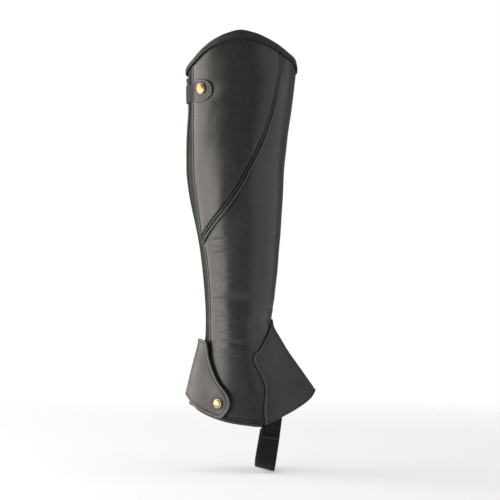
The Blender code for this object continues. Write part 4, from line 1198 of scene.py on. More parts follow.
# ---- instep ----
tip = 1 - 3.0 / girth(INSTEP_TIP_Z)
outer_side = along([(tip, INSTEP_TIP_Z), *instep_points, instep_corner])
inner_side = along([(2 - q, z) for q, z in [(tip, INSTEP_TIP_Z), *instep_points, instep_corner]])
instep = patch(
    outer_side,
    inner_side,
    along([(tip, INSTEP_TIP_Z), (1.0, INSTEP_TIP_Z + 1.5), (2 - tip, INSTEP_TIP_Z)]),
    edge_run(instep_corner[0], 2 - instep_corner[0], lambda q: hem_z(1 - np.abs(1 - q)) + 0.6),
)
wide = spread(118.0, 1.15)
wide = np.unique(np.round(np.concatenate([wide[wide <= 0.5], 1 - wide[wide <= 0.5], [0.5]]), 6))
u, v = np.meshgrid(wide, spread(118.0, 1.15))
grid = instep(u, v)
sides = [INSTEP_EDGE, INSTEP_EDGE * np.array([-1.0, 1.0]) + np.array([2.0, 0.0])]
d_a, run_a = near(grid, sides[0])
d_b, run_b = near(grid, sides[1])
to_side, side_run = np.minimum(d_a, d_b), np.where(d_a < d_b, run_a, run_b)
low_edge = instep(np.linspace(0, 1, 120), np.ones(120))
to_low, low_run = near(grid, low_edge)
to_any, _ = near(grid, outline(instep))

def tip_low(z):
    return 1 - 0.30 * np.exp(-(((z - INSTEP_TIP_Z) / 13.0) ** 2))


rise = lap(to_side) * LAP_RISE
rise = np.where(v < 0.02, LAP_RISE, rise) * tip_low(grid[..., 1])
face = (
    rise
    - roll(to_any, 0.8)
    + groove(to_side - 2.6, 0.36, 0.8)
    + 0.26 * np.exp(-(((to_side - 1.2) / 0.9) ** 2))
    + groove(to_low - 2.8, 0.34, 0.8)
    + 0.24 * np.exp(-(((to_low - 1.3) / 1.0) ** 2))
    + 0.08 * np.exp(-to_side / 6) * np.sin(side_run / 3.0)
)
# Painted shade in the stitch grooves along the sides and the lower edge, and painted highlights on the raised bevels
# just inside those edges.
tone = (
    -0.35 * np.exp(-(((to_side - 3.4) / 0.8) ** 2))
    + 0.32 * np.exp(-(((to_side - 1.6) / 0.7) ** 2))
    + 0.18 * np.exp(-(((to_low - 1.0) / 1.0) ** 2))
    - 0.35 * np.exp(-(((to_low - 2.8) / 0.8) ** 2))
)
instep_piece = shell("instep_piece", grid, face, rise - LEATHER + roll(to_any, 0.35), [INSTEP_MAT, FLESH_MAT], "instep", tone)
declare(instep_piece, grid)


def instep_rise(line):
    d = np.minimum(near(line, sides[0])[0], near(line, sides[1])[0])
    return lap(d) * LAP_RISE * tip_low(line[:, 1])


rows = []
for k, edge in enumerate(sides):
    row = inset(evenly(edge, 1.0), -2.6 if k == 0 else 2.6)
    row = row[(row[:, 1] < INSTEP_TIP_Z - 5) & (row[:, 1] > hem_line(row[:, 0]) + 4)]
    rows.append(with_height(row, instep_rise(row) - 0.24))
low_row = np.array([(q, float(hem_line(q)) + 3.4 * k) for q, k in [(q, 1.0) for q in np.linspace(instep_corner[0] + 0.035, 2 - instep_corner[0] - 0.035, 160)]])
rows.append(with_height(low_row, instep_rise(low_row) - 0.22))
stitches("stitching_instep", rows, pitch=3.2, length=2.5, radius=0.38, material=THREAD_LIGHT_MAT)

# ---- elastic strip: fine ribs along it ----
strip_a = down(lambda z: rear_q(z) - half / girth(z), top_of, hem_of)
strip_b = down(lambda z: ZIP_Q + (TAPE_EDGE + 0.3) / girth(z), top_of, hem_of)
strip = patch(
    strip_a,
    strip_b,
    edge_run(float(strip_a(0.0)[0]), float(strip_b(0.0)[0]), top_of),
    edge_run(float(strip_a(1.0)[0]), float(strip_b(1.0)[0]), hem_of),
)
u, v = np.meshgrid(spread(26.0, 0.24), spread(368.0, 2.6))
grid = strip(u, v)
to_any, _ = near(grid, outline(strip))
across_mm = (grid[..., 0] - ZIP_Q) * girth(grid[..., 1])
ribs = 0.13 * np.cos(across_mm * math.tau / 1.45)
line_q = np.interp(grid[..., 1], [-300.0, -200.0, -120.0, -75.0, -42.0, -20.0, 0.0, 40.0], [0.064, 0.062, 0.066, 0.074, 0.076, 0.092, 0.094, 0.090])
line_mm = (grid[..., 0] - line_q) * girth(grid[..., 1])
line_in = 0.55 + 0.45 * ease((grid[..., 1] + 135) / 50)
face = STRIP_FACE + ribs * ease((to_any - 0.6) / 1.0) - roll(to_any, 0.5) - 1.1 * line_in * np.exp(-((line_mm / 1.9) ** 2))
# The tone paints a black shadow line where the leather's edge shades the elastic, a painted highlight on the lit
# sliver beside it, painted shade along the strip's edges, and rib tops lighter than the valleys.
tone = -1.4 * line_in * np.exp(-((line_mm / 2.0) ** 4)) + 0.35 * np.exp(-(((line_mm + 5.5) / 2.5) ** 2)) - 0.5 * np.exp(-((to_any / 0.9) ** 2)) + 0.10 * np.cos(across_mm * math.tau / 1.45)
stretch = shell("elastic_strip", grid, face, STRIP_FACE - ELASTIC, [ELASTIC_MAT], "stretch_strip", tone)
declare(stretch, grid)
# A black row of stitches without gloss runs down the elastic behind the leather's edge: a dark row put where the edge
# casts its shadow, as painted shade.
row_z = np.linspace(36.0, -300.0, 340)
row_q = np.interp(row_z, [-300.0, -200.0, -120.0, -75.0, -42.0, -20.0, 0.0, 40.0], [0.064, 0.062, 0.066, 0.074, 0.076, 0.092, 0.094, 0.090])
for k, off in enumerate((-0.8, 0.8)):
    row = np.stack([row_q + off / girth(row_z), row_z], axis=-1)
    stitches("stitching_strip_" + "ab"[k], [with_height(row, STRIP_FACE - 0.75)], pitch=2.6, length=2.5, radius=0.75, material=THREAD_DARK_AND_SHADE_MAT)

# ---- zip: tapes, coil and its backing ----
def ribbon(name, from_mm, to_mm, d0, d1, top, low, material, node, cols=7):
    a = down(lambda z: ZIP_Q + from_mm / girth(z), top, low)
    b = down(lambda z: ZIP_Q + to_mm / girth(z), top, low)
    t = np.linspace(0, 1, 240)
    qa, qb = a(t), b(t)
    w = np.linspace(0, 1, cols)[None, :, None]
    grid = qa[:, None] * (1 - w) + qb[:, None] * w
    edge = np.minimum(w[..., 0], 1 - w[..., 0]) * abs(to_mm - from_mm)
    return shell(name, grid, d1 - roll(np.broadcast_to(edge, grid.shape[:2]), 0.3), d0, [material], node), grid


tape_in = CHAIN_W / 2 + 0.3
for name, a, b, node in (
    ("zip_tape_woven_outer", tape_in, TAPE_EDGE, "zip_tape_outer"),
    ("zip_tape_woven_inner", -TAPE_EDGE, -tape_in, "zip_tape_inner"),
):
    tape, grid = ribbon(name, a, b, -1.8, -0.7, top_of, hem_of, TAPE_MAT, node)
    declare(tape, grid)

CHAIN_TOP, CHAIN_LOW = SLIDER_Z + 4.6, float(hem_of(ZIP_Q)) + 1.0
backing, grid = ribbon(
    "zip_backing",
    -CHAIN_W / 2,
    CHAIN_W / 2,
    -1.7,
    -0.75,
    lambda q: np.full(np.shape(q), CHAIN_TOP),
    lambda q: hem_of(q) + 1.0,
    TAPE_MAT,
    "zip_chain",
)
declare(backing, grid)
points, faces = [], []
pitch = 1.35
count = int((CHAIN_TOP - CHAIN_LOW) / pitch)
for k in range(count):
    for s in (-1, 1):
        z = CHAIN_LOW + (k + 0.5 + (0.25 if s > 0 else -0.25)) * pitch
        p, side, up, out = frame_at(ZIP_Q, z, -0.55)
        base = len(points)
        for t, r in ((-2.6, 0.55), (-2.3, 0.95), (-0.6, 1.0), (0.35, 1.0), (0.6, 0.6)):
            for a in np.arange(6) * math.tau / 6:
                lift = 0.12 if t > -0.7 else 0.0
                points.append(
                    p
                    + side * (s * -t)
                    + up * (0.36 * r * math.cos(a) + 0.10 * (t + 1))
                    + out * (0.42 * r * math.sin(a) + lift)
                )
        here = []
        for i in range(4):
            for j in range(6):
                a, b = base + i * 6 + j, base + i * 6 + (j + 1) % 6
                here.append([a, b, b + 6, a + 6])
        here += [[base + j for j in range(6)][::-1], [base + 24 + j for j in range(6)]]
        own = np.array(points[base:])
        local_faces = [[i - base for i in f] for f in here]
        if volume_sign(own - own.mean(0), local_faces) < 0:
            here = [f[::-1] for f in here]
        faces += here
make("zip_coil", np.array(points), faces, [NYLON_MAT])
coil_rows = [
    with_height(np.array([(ZIP_Q + s * 1.75 / girth(z), z) for z in np.linspace(CHAIN_LOW + 1, SLIDER_Z - 6, 300)]), -0.12)
    for s in (-1, 1)
]
stitches("stitching_zip_coil", coil_rows, pitch=2.7, length=2.2, radius=0.24, sunk=0.0)


# ---- bindings ----
def bound(name, node, qs, edge, sign, width, puff=0.30, notch=None):
    """A leather strip folded over an edge and sewn down along its lower side."""
    face, back, in_back, in_face = 0.5 + BINDING, 0.5, -2.5, -2.5 - BINDING
    z_edge = edge(qs)
    slope = np.gradient(z_edge, qs) / girth(z_edge)
    steep = np.hypot(1, slope)
    rings, tones, flats = [], [], []
    run = np.concatenate([[0], np.cumsum(np.hypot(np.diff(qs) * girth(z_edge[1:]), np.diff(z_edge)))])
    for q, z, k, s in zip(qs, z_edge, steep, run):
        w, w_in = float(width(q)), 4.6
        # The third value in each profile row is the tone: painted shade under the binding's lower edge, inside it and
        # in the sewn dip, and a painted highlight, partly wear, along the rounded fold.
        profile = [(back + 0.1, w - 0.05, -1), (back + 0.55, w, -0.6), (face - 0.45, w - 0.1, -0.2), (face - 0.15, w - 0.5, 0.1)]
        for h in np.linspace(w - 1.0, 1.3, 9):
            swell = puff * math.sin(math.pi * min(1, max(0, (h - 0.4) / (w - 1.2)))) ** 0.8
            dip = -0.30 * math.exp(-(((w - 1.9 - h) / 0.55) ** 2))
            profile.append((face + swell + dip - 0.15, h, -0.7 * math.exp(-(((w - 1.9 - h) / 0.6) ** 2)) + 0.12))
        for a in np.radians([15, 35, 55, 75, 95, 115, 135, 155, 170]):
            profile.append((-1.0 + 2.85 * math.cos(a), 1.15 - 1.15 * math.sin(a), 0.35 * math.sin(a)))
        for h in (1.4, 2.2, 3.0, 3.8):
            profile.append((in_face + 0.05, h, 0))
        profile += [(in_face + 0.3, w_in - 0.1, 0), (in_back - 0.5, w_in, -0.5), (in_back, w_in - 0.2, -1), (in_back, EDGE_IN - 0.8, -1), (back, EDGE_IN - 0.8, -1)]
        # The strip follows the edge, and ripples a little where it is sewn.
        wave = 0.10 * math.sin(s / 4.7 + math.sin(s / 13.0)) + 0.06 * math.sin(s / 2.1)
        ring, tone_ring, flat_ring = [], [], []
        for i, (d, h, t) in enumerate(profile):
            hh = h * k
            dd = d + (wave if d > 1.0 else 0)
            # The notch is sunk and painted dark as painted shade.
            if notch and abs(q - notch[0]) * girth(z) < notch[1] and d > 1.2 and abs(h - notch[2]) < 0.6:
                dd, t = dd - 0.5, -1.0
            ring.append((q, z + sign * hh, dd))
            tone_ring.append(t)
            flat_ring.append((s, h + (6 if d < -1 else 0), 0))
        ring = np.array(ring)
        rings.append(form(ring[:, 0], ring[:, 1], ring[:, 2] - pinch(ring[:, 0], ring[:, 1])))
        tones += tone_ring
        flats += flat_ring
    return tube(name, rings, [BINDING_MAT], node, tone=tones, flat=flats)


trim_gap = 0.5 / float(girth(40.0))
trim_q = np.linspace(ZIP_Q + trim_gap, ZIP_Q + 2 - trim_gap, 330)
top_trim = bound("top_binding", "top_trim", trim_q, top_line, -1, lambda q: trim_width(q % 2), puff=0.35, notch=(place(2.1, 74.0, 2.0)[0], 2.3, 4.4))
trim_grid = np.stack([np.stack([trim_q, top_line(trim_q) - h], axis=-1) for h in np.linspace(-4.5, 10.5, 6)])
declare(top_trim, trim_grid, extra=1.0)
trim_rows = []
for back in (1.9,):
    q = np.linspace(ZIP_Q + 0.03, ZIP_Q + 1.97, 520)
    g = np.hypot(1, np.gradient(top_line(q), q) / girth(top_line(q)))
    row = np.stack([q, top_line(q) - (trim_width(q % 2) - back) * g], axis=-1)
    trim_rows.append(with_height(row, 1.62 - pinch(row[:, 0], row[:, 1])))
stitches("stitching_top_binding", trim_rows, pitch=3.0, length=2.3, radius=0.34)
# A second row below the binding holds its inner leg.
q = np.linspace(0.42, 1.02, 200)
g = np.hypot(1, np.gradient(top_line(q), q) / girth(top_line(q)))
row = np.stack([q, top_line(q) - (trim_width(q % 2) + 1.5) * g], axis=-1)
stitches("stitching_under_binding", [with_height(row, -0.08)], pitch=3.0, length=2.2, radius=0.28)

hem_out_from = ZIP_Q + (tape_in + 0.2) / float(girth(-312))
hem_in_from = ZIP_Q - (tape_in + 0.2) / float(girth(-312))
hem_to = place(22.8, -332.0, 1.0)[0]
for name, node, a, b in (
    ("hem_edge_outer", "hem_binding_outer", hem_out_from, hem_to),
    ("hem_edge_inner", "hem_binding_inner", hem_in_from, -hem_to),
):
    qs = np.linspace(a, b, 110)
    piece = bound(name, node, qs, hem_line, 1, lambda q: 5.8, puff=0.25)
    grid = np.stack([np.stack([qs, hem_line(qs) + h], axis=-1) for h in np.linspace(-4.0, 8.0, 5)])
    declare(piece, grid)
    q = np.linspace(a, b, 160)[3:-3]
    row = np.stack([q, hem_line(q) + 3.9], axis=-1)
    stitches("stitching_" + name, [with_height(row, 1.62)], pitch=3.0, length=2.4, radius=0.36, material=THREAD_DARK_AND_SHADE_MAT)

# ---- top tab ----
band_q = place(TAB["rear"] - 0.5, 16.0, 1.5)[0]
u, v = np.meshgrid(spread(96.0, 1.2), spread(19.0, 0.24))
grid = np.stack([BAND_ROOT_Q + (band_q - BAND_ROOT_Q) * u, BAND_Z[1] + (BAND_Z[0] - BAND_Z[1]) * v], axis=-1)
to_end = np.minimum(v, 1 - v) * (BAND_Z[1] - BAND_Z[0])
band_ribs = 0.12 * np.cos(v * (BAND_Z[1] - BAND_Z[0]) * math.tau / 1.35)
pull_in = 0.10 * np.cos((grid[..., 0] - band_q) * girth(grid[..., 1]) / 1.1) * np.exp((grid[..., 0] - band_q) * 12)
face = 1.6 + band_ribs * ease(to_end / 1.2) - roll(np.minimum(to_end, 5), 0.5) + pull_in
flat = np.stack([v * 19.0, u * 96.0, u * 0], axis=-1)
# Rib tops painted lighter than the rib valleys, and painted shade at the band's edges.
band = shell("tab_elastic", grid, face, 0.55, [ELASTIC_MAT], "tab_band", 0.08 * np.cos(v * 19.0 * math.tau / 1.35) - 0.4 * np.exp(-to_end / 0.6), flat)
declare(band, grid)

root_rows = []
z_low, z_top = BAND_Z[0] + 1.8, BAND_Z[1] - 1.8
for mm in (1.8, 6.8):
    z = np.linspace(z_low, z_top, 16)
    root_rows.append(with_height(np.stack([BAND_ROOT_Q + mm / girth(z), z], axis=-1), 1.62))
for z in (z_low, z_top):
    q = BAND_ROOT_Q + np.linspace(1.8, 6.8, 8) / float(girth(z))
    root_rows.append(with_height(np.stack([q, np.full(8, z)], axis=-1), 1.62))
stitches("stitching_tab_root", root_rows, pitch=2.4, length=1.9, radius=0.28)

TAB_D0, TAB_D1 = 0.6, 2.6
tab_mid, tab_half = (TAB["top"] + TAB["low"]) / 2, (TAB["top"] - TAB["low"]) / 2


def tab_outline(n=90):
    """The D of the tab, from its upper rear corner round its end to the lower one."""
    rows = []
    for t in np.linspace(0, 1, n):
        a = math.pi * (0.5 - t)
        # Straight for a while, then a half round.
        c, s = max(0.0, math.cos(a)), math.sin(a)
        x = TAB["rear"] + (TAB["tip"] - TAB["rear"]) * c ** (2 / 2.3)
        z = tab_mid + 0.6 * c ** (2 / 2.3) + tab_half * np.sign(s) * abs(s) ** (2 / 2.3)
        rows.append((x, z))
    return rows


def disc(name, edge, centre, stand, thick, materials, node, bead, seam, dish=None, rings=26):
    """A small leather piece from its outline of (q, z) places, with a raised edge and a sunk seam."""
    edge = np.array(edge)
    k = len(edge)
    shares = np.concatenate([np.linspace(0, 0.8, rings - 12), 1 - np.array([0.17, 0.14, 0.11, 0.085, 0.065, 0.048, 0.034, 0.022, 0.012, 0.006, 0.002, 0.0])])[1:]
    grid = centre + (edge - centre)[None] * shares[:, None, None]
    to_edge, run = near(grid, np.concatenate([edge, edge[:1]]))
    face = stand + thick - roll(to_edge, 0.75) + bead * np.exp(-(((to_edge - seam * 0.5) / (seam * 0.36)) ** 2)) + groove(to_edge - seam, 0.32, 0.7)
    # Painted highlight on the raised bead by the edge, partly the edge's own lighter finish, and painted shade in the
    # sunk seam.
    tone = 0.75 * np.exp(-(((to_edge - seam * 0.42) / (seam * 0.34)) ** 2)) - 0.55 * np.exp(-(((to_edge - seam) / 0.65) ** 2))
    if dish is not None:
        at = plain(dish[0], dish[1])
        far = np.linalg.norm(plain(grid[..., 0], grid[..., 1]) - at, axis=-1)
        face = face - 0.5 * np.exp(-(((far - SNAP_R) / 2.2) ** 2)) * ease((to_edge - seam) / 1.5)
        # Painted shadow round the snap's cap.
        tone = tone - 0.45 * np.exp(-((np.maximum(0, far - SNAP_R) / 0.9) ** 2)) * (far > SNAP_R - 1)
    low = np.full(grid.shape[:2], stand) + roll(to_edge, 0.3)
    top_c, low_c = form(centre[0], centre[1], stand + thick), form(centre[0], centre[1], stand)
    outside = form(grid[..., 0], grid[..., 1], face).reshape(-1, 3)
    inside = form(grid[..., 0], grid[..., 1], low).reshape(-1, 3)
    n = len(outside)
    points = np.concatenate([outside, inside, [top_c, low_c]])
    faces = []
    for i in range(len(shares) - 1):
        for j in range(k):
            a, b = i * k + j, i * k + (j + 1) % k
            faces.append([a, b, b + k, a + k])
            faces.append([n + a + k, n + b + k, n + b, n + a])
    for j in range(k):
        a, b = j, (j + 1) % k
        faces.append([2 * n, b, a])
        faces.append([2 * n + 1, n + a, n + b])
        a, b = (len(shares) - 1) * k + j, (len(shares) - 1) * k + (j + 1) % k
        faces.append([a, b, n + b, n + a])
    if volume_sign(points - points.mean(0), faces) < 0:
        faces = [f[::-1] for f in faces]
    tones = np.concatenate([tone.ravel(), np.zeros(n), [0, 0]])
    flat = np.zeros((len(points), 3))
    obj = make(name, points, faces, materials, node=node, tone=tones, flat=flat)
    return obj, grid


tab_edge = [place(x, z, 1.8) for x, z in tab_outline()]
straight = [place(TAB["rear"], z, 1.8) for z in np.linspace(TAB["low"], TAB["top"], 26)[1:-1]]
snap_q, snap_z = place(*TOP_SNAP, 3.0)
tab_edge = np.array(tab_edge + straight)
tab_centre = np.array(place(-40.0, tab_mid + 0.3, 1.8))
tab, grid = disc("tab_leather", tab_edge, tab_centre, TAB_D0, TAB_D1 - TAB_D0, [FLAP_LIT_MAT], "tab_end", 0.38, 2.3, dish=(snap_q, snap_z))
declare(tab, grid[:, list(range(grid.shape[1])) + [0]])
ring = evenly(np.concatenate([tab_edge, tab_edge[:1]]), 0.8)
inner_ring = tab_centre + (ring - tab_centre) * (1 - 2.5 / np.maximum(near(ring, np.array([tab_centre, tab_centre + 1e-4]))[0], 5))[:, None]
stitches("stitching_tab", [with_height(inner_ring, TAB_D1 - 0.2)], pitch=2.5, length=1.9, radius=0.30, material=THREAD_LIGHT_MAT)


# ---- heel flap ----
def flap_stand(q):
    return smooth([(-0.47, 0.7), (-0.40, 0.9), (-0.2, 3.6), (-0.05, 5.0), (0.08, 5.2), (0.2, 4.4), (0.45, 3.0), (0.7, 2.7)])(q)


def flap_place(x, z):
    q = place(x, z, 6.0)[0]
    low = z
    for _ in range(4):
        q, low = place(x, z, float(flap_stand(q)) + 1.8)
    return q, low


FLAP = 1.8
ROOT_Q = -0.46
flap_top = along([(ROOT_Q, -262.0), (-0.3, -254.0), (-0.15, -247.0), (0.0, -244.6)] + [flap_place(*p) for p in HEEL_FLAP_TOP])
flap_low = along([(ROOT_Q, -299.0), (-0.3, -301.0), (-0.15, -302.6), (0.0, -304.2)] + [flap_place(*p) for p in HEEL_FLAP_LOW])
flap_end = along([flap_place(*p) for p in HEEL_FLAP_END])
flap = patch(along([(ROOT_Q, -262.0), (ROOT_Q, -299.0)]), flap_end, flap_top, flap_low)
u, v = np.meshgrid(spread(135.0, 1.1), spread(58.0, 1.0))
grid = flap(u, v)
stand = flap_stand(grid[..., 0])
t = np.linspace(0, 1, 160)
flap_rim = np.concatenate([flap_top(t), flap_end(np.linspace(0, 1, 40))[1:], flap_low(t)[::-1][1:]])
to_rim, rim_run = near(grid, flap_rim)
root_line = np.array([(ROOT_Q, z) for z in np.linspace(-299, -262, 30)])
to_root, _ = near(grid, root_line)
to_any = np.minimum(to_rim, to_root)
snap2 = flap_place(*HEEL_SNAP)
far = np.linalg.norm(plain(grid[..., 0], grid[..., 1]) - plain(*snap2), axis=-1)
swell = 0.5 * np.sin(grid[..., 0] * 9.0 + 0.4) * np.sin(v * math.pi) ** 1.2 + 0.35 * np.sin(grid[..., 1] / 9.0 + grid[..., 0] * 5)
body_swell = swell * ease((to_any - 2) / 8) * ease((far - 6) / 8)


def flap_lift(q, z):
    """The flap's loose end stands a little off the panel, turned to the rear round the stud."""
    s = (q - snap2[0]) * girth(z)
    return 1.5 * np.tanh(s / 7.0) * ease((s + 26) / 16)


stand = stand + flap_lift(grid[..., 0], grid[..., 1])
face = (
    stand
    + FLAP
    - roll(to_any, 0.8)
    + 0.40 * np.exp(-(((to_rim - 1.4) / 1.0) ** 2))
    + groove(to_rim - 2.9, 0.38, 0.75)
    + groove(to_root - 2.9, 0.3, 0.75)
    + body_swell
    - 0.45 * np.exp(-(((far - SNAP_R - 0.4) / 1.8) ** 2))
)
# Painted highlight on the raised rim, partly a rubbed edge, painted shade in the stitch groove, and a painted shadow
# round the snap's cap.
tone = (
    0.70 * np.exp(-(((to_rim - 1.2) / 0.9) ** 2))
    - 0.6 * np.exp(-(((to_rim - 2.9) / 0.7) ** 2))
    - 0.5 * np.exp(-((np.maximum(0, far - SNAP_R) / 1.0) ** 2)) * (far > SNAP_R - 1)
)
heel = shell("heel_flap_leather", grid, face, stand + body_swell + roll(to_any, 0.35), [FLAP_LIT_MAT, FLESH_MAT], "heel_flap", tone)
declare(heel, grid)
rim_line = inset(evenly(flap_rim, 0.8), 2.9)
rim_line = rim_line[8:-8]
keep = near(rim_line, root_line)[0] > 3
rim_line = rim_line[keep]


def flap_face(line):
    return flap_stand(line[:, 0]) + FLAP + flap_lift(line[:, 0], line[:, 1])


root_rows = np.array([(ROOT_Q + 2.9 / girth(z), z) for z in np.linspace(-296.5, -264.5, 40)])
stitches(
    "stitching_heel_flap",
    [with_height(rim_line, flap_face(rim_line) - 0.2), with_height(root_rows, flap_face(root_rows) - 0.1)],
    pitch=3.0,
    length=2.3,
    radius=0.38,
    material=THREAD_LIGHT_MAT,
)

# ---- snaps ----
SNAP_PROFILE = [
    (0.0, 2.30),
    (1.2, 2.27),
    (2.4, 2.16),
    (3.4, 1.98),
    (4.2, 1.74),
    (4.8, 1.50),
    (5.2, 1.28),
    (5.45, 1.16),
    (5.65, 1.16),
    (5.9, 1.12),
    (6.12, 0.95),
    (6.22, 0.70),
    (6.2, 0.42),
    (6.05, 0.15),
    (5.8, 0.0),
]


def lathe(name, p, side, up, out, node, seed, material, turned=0.0, wide=0.95):
    side, out = side * math.cos(turned) + out * math.sin(turned), out * math.cos(turned) - side * math.sin(turned)
    k = 56
    points = [p + out * SNAP_PROFILE[0][1]]
    for r, h in SNAP_PROFILE[1:]:
        for a in np.arange(k) * math.tau / k:
            dent = 0.02 * math.sin(2 * a + seed) * (r / 6)
            points.append(p + out * (h + dent) + wide * r * (side * math.cos(a) + up * math.sin(a)))
    faces = [[0, 1 + (j + 1) % k, 1 + j] for j in range(k)]
    for i in range(len(SNAP_PROFILE) - 2):
        for j in range(k):
            a, b = 1 + i * k + j, 1 + i * k + (j + 1) % k
            faces.append([a, b, b + k, a + k])
    last = 1 + (len(SNAP_PROFILE) - 2) * k
    faces.append([last + j for j in range(k)])
    points = np.array(points)
    if volume_sign(points - points.mean(0), faces) < 0:
        faces = [f[::-1] for f in faces]
    return make(name, points, faces, [material], node=node)


lathe("snap_cap_top", *frame_at(snap_q, snap_z, TAB_D1 + 0.02), "snap_top", 0.4, BRASS_SHADED_MAT)
lathe("snap_cap_heel", *frame_at(*snap2, float(flap_stand(snap2[0])) + FLAP + 0.02), "snap_heel", 1.7, BRASS_LIT_MAT, math.atan2(1.5, 7.0), 0.82)

# ---- slider and pull: the model's own shapes, with their edges rounded ----
for node, name, body in (("zip_slider", "zip_slider_metal", "chap"), ("zip_pull", "zip_pull_metal", "zip_pull")):
    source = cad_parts[node]
    mesh = source.data.copy()
    piece = bpy.data.objects.new(name, mesh)
    bpy.context.scene.collection.objects.link(piece)
    mesh.materials.clear()
    mesh.materials.append(ZIP_METAL_MAT)
    weld = piece.modifiers.new("weld", "WELD")
    weld.merge_threshold = 0.00001
    flatter = piece.modifiers.new("flat", "DECIMATE")
    flatter.decimate_type, flatter.angle_limit = "DISSOLVE", math.radians(4)
    bevel = piece.modifiers.new("bevel", "BEVEL")
    bevel.width, bevel.segments, bevel.limit_method, bevel.angle_limit = 0.00022, 3, "ANGLE", math.radians(28)
    for p in mesh.polygons:
        p.use_smooth = False
    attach(piece, body)
    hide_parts(node)

# ---- strap under the foot ----
TAB_FACE = -2.5
STRAP_W, STRAP_T = 21.2, 1.6
LOOP_TOP_Z, LOOP_LOW_Z, LOOP_CORNER, LOOP_LEAN = -344.6, -379.6, 13.0, 0.165
for name, node, sign in (("strap_end_outer", "strap_tab_outer", 1), ("strap_end_inner", "strap_tab_inner", -1)):
    rows = [(-318.5, 25.6, 45.4), (-326.0, 24.8, 44.6), (-334.0, 24.0, 43.6), (-340.0, 23.3, 42.8), (-349.4, 22.1, 41.5)]
    left = along([place(x0, z, TAB_FACE) for z, x0, _ in rows])
    right = along([place(x1, z, TAB_FACE) for z, _, x1 in rows])
    u, v = np.meshgrid(spread(20.0, 0.28), spread(27.0, 1.0))
    w = u[..., None]
    grid = left(v) * (1 - w) + right(v) * w
    to_end = np.minimum(u, 1 - u) * 20.0
    ribs = 0.10 * np.cos(u * 20.0 * math.tau / 1.25)
    face = TAB_FACE + ribs * ease(to_end / 1.0) - roll(to_end, 0.4)
    flat = np.stack([u * 20.0, v * 27.0, v * 0], axis=-1)
    grid = grid * np.array([sign, 1.0])
    # Rib tops painted a little lighter than the rib valleys.
    piece = shell(name, grid, face, TAB_FACE - 1.5, [WEB_MAT], node, 0.06 * np.cos(u * 20.0 * math.tau / 1.25), flat)
    declare(piece, grid)

q, z = place(31.8, LOOP_TOP_Z, -0.5)
start = form(q, z, -0.5, creased=False)
wall_way = form(q + 0.02, z, 0, creased=False) - form(q - 0.02, z, 0, creased=False)
wall_way[2] = 0
wall_way /= np.linalg.norm(wall_way)
side_y = -start[1]
low_corner = LOOP_LOW_Z + LOOP_CORNER
path = []
for k in np.linspace(0, 1, 14):
    path.append((-side_y + 0.6 * k, LOOP_TOP_Z + (low_corner - LOOP_TOP_Z) * k))
for a in np.radians(np.linspace(7.5, 90, 12)):
    path.append((-side_y + 0.6 + LOOP_CORNER * (1 - math.cos(a)), low_corner - LOOP_CORNER * math.sin(a)))
corner_y = -side_y + 0.6 + LOOP_CORNER
for k in np.linspace(0.1, 1, 10):
    path.append((corner_y * (1 - k), LOOP_LOW_Z - 1.0 * k))
path += [(-y, z) for y, z in path[-2::-1]]
centre = np.array([(start[0] + (z - LOOP_TOP_Z) * LOOP_LEAN, y, z) for y, z in path])
run = np.gradient(centre, axis=0)
run /= np.linalg.norm(run, axis=1, keepdims=True)
distance = np.concatenate([[0], np.cumsum(np.linalg.norm(np.diff(centre, axis=0), axis=1))])
across = np.linspace(-1, 1, 69)
rings, tones, flats = [], [], []
for c, t, s in zip(centre, run, distance):
    bottom = np.array([math.cos(math.radians(15)), 0, -math.sin(math.radians(15))])
    wide_way = wall_way * np.array([1, -1 if c[1] > 0 else 1, 1])
    level = float(np.clip((LOOP_TOP_Z - c[2]) / (LOOP_TOP_Z - LOOP_LOW_Z), 0, 1)) ** 2
    way = wide_way * (1 - level) + bottom * level
    way -= t * np.dot(way, t)
    way /= np.linalg.norm(way)
    thick = np.cross(t, way)
    ring = []
    for b in (-1, 1):
        for a in across if b < 0 else across[::-1]:
            x = a * STRAP_W / 2
            edge = STRAP_W / 2 - abs(x)
            h = STRAP_T / 2 - roll(np.array(edge), 0.6) * 0.95 + 0.09 * math.cos(x * math.tau / 1.25) * float(ease(edge / 1.0))
            ring.append(c + way * x + thick * b * float(h))
            # Rib tops painted lighter than the valleys, and painted shade along the strap's rounded edges.
            tones.append(0.06 * math.cos(x * math.tau / 1.25) - 0.4 * math.exp(-(edge / 0.5)))
            flats.append((x, s, 0))
    rings.append(ring)
strap = tube("strap_elastic", rings, [WEB_MAT], "strap_loop", tone=tones, flat=flats)
cuts["strap_elastic"] = {"width_mm": STRAP_W, "length_mm": round(float(distance[-1]), 1), "area_cm2": round(float(distance[-1]) * STRAP_W / 100, 1)}


def thread_row(points, normals, pitch=2.6, length=2.0, radius=0.3):
    """Stitches along a row of points that don't lie on the form."""
    out, faces = [], []
    points, normals = np.array(points), np.array(normals)
    at = np.concatenate([[0], np.cumsum(np.linalg.norm(np.diff(points, axis=0), axis=1))])
    count = max(1, int(at[-1] / pitch))
    step = at[-1] / count
    for k in range(count):
        s0 = k * step + (step - length) / 2
        a, b = (np.array([np.interp(s, at, points[:, i]) for i in range(3)]) for s in (s0, s0 + length))
        n = np.array([np.interp(s0, at, normals[:, i]) for i in range(3)])
        way = b - a
        side = np.cross(way / np.linalg.norm(way), n)
        base = len(out)
        for t, r, h in STITCH_RUN:
            m = a + way * t + n * (radius * (h + 0.2) - 0.06)
            for x, y in STITCH_RING:
                out.append(m + (side * x + n * y) * radius * r)
        for i in range(4):
            for j in range(6):
                p0, p1 = base + i * 6 + j, base + i * 6 + (j + 1) % 6
                faces.append([p0, p1, p1 + 6, p0 + 6])
        faces += [[base + j for j in range(6)][::-1], [base + 24 + j for j in range(6)]]
    return out, faces


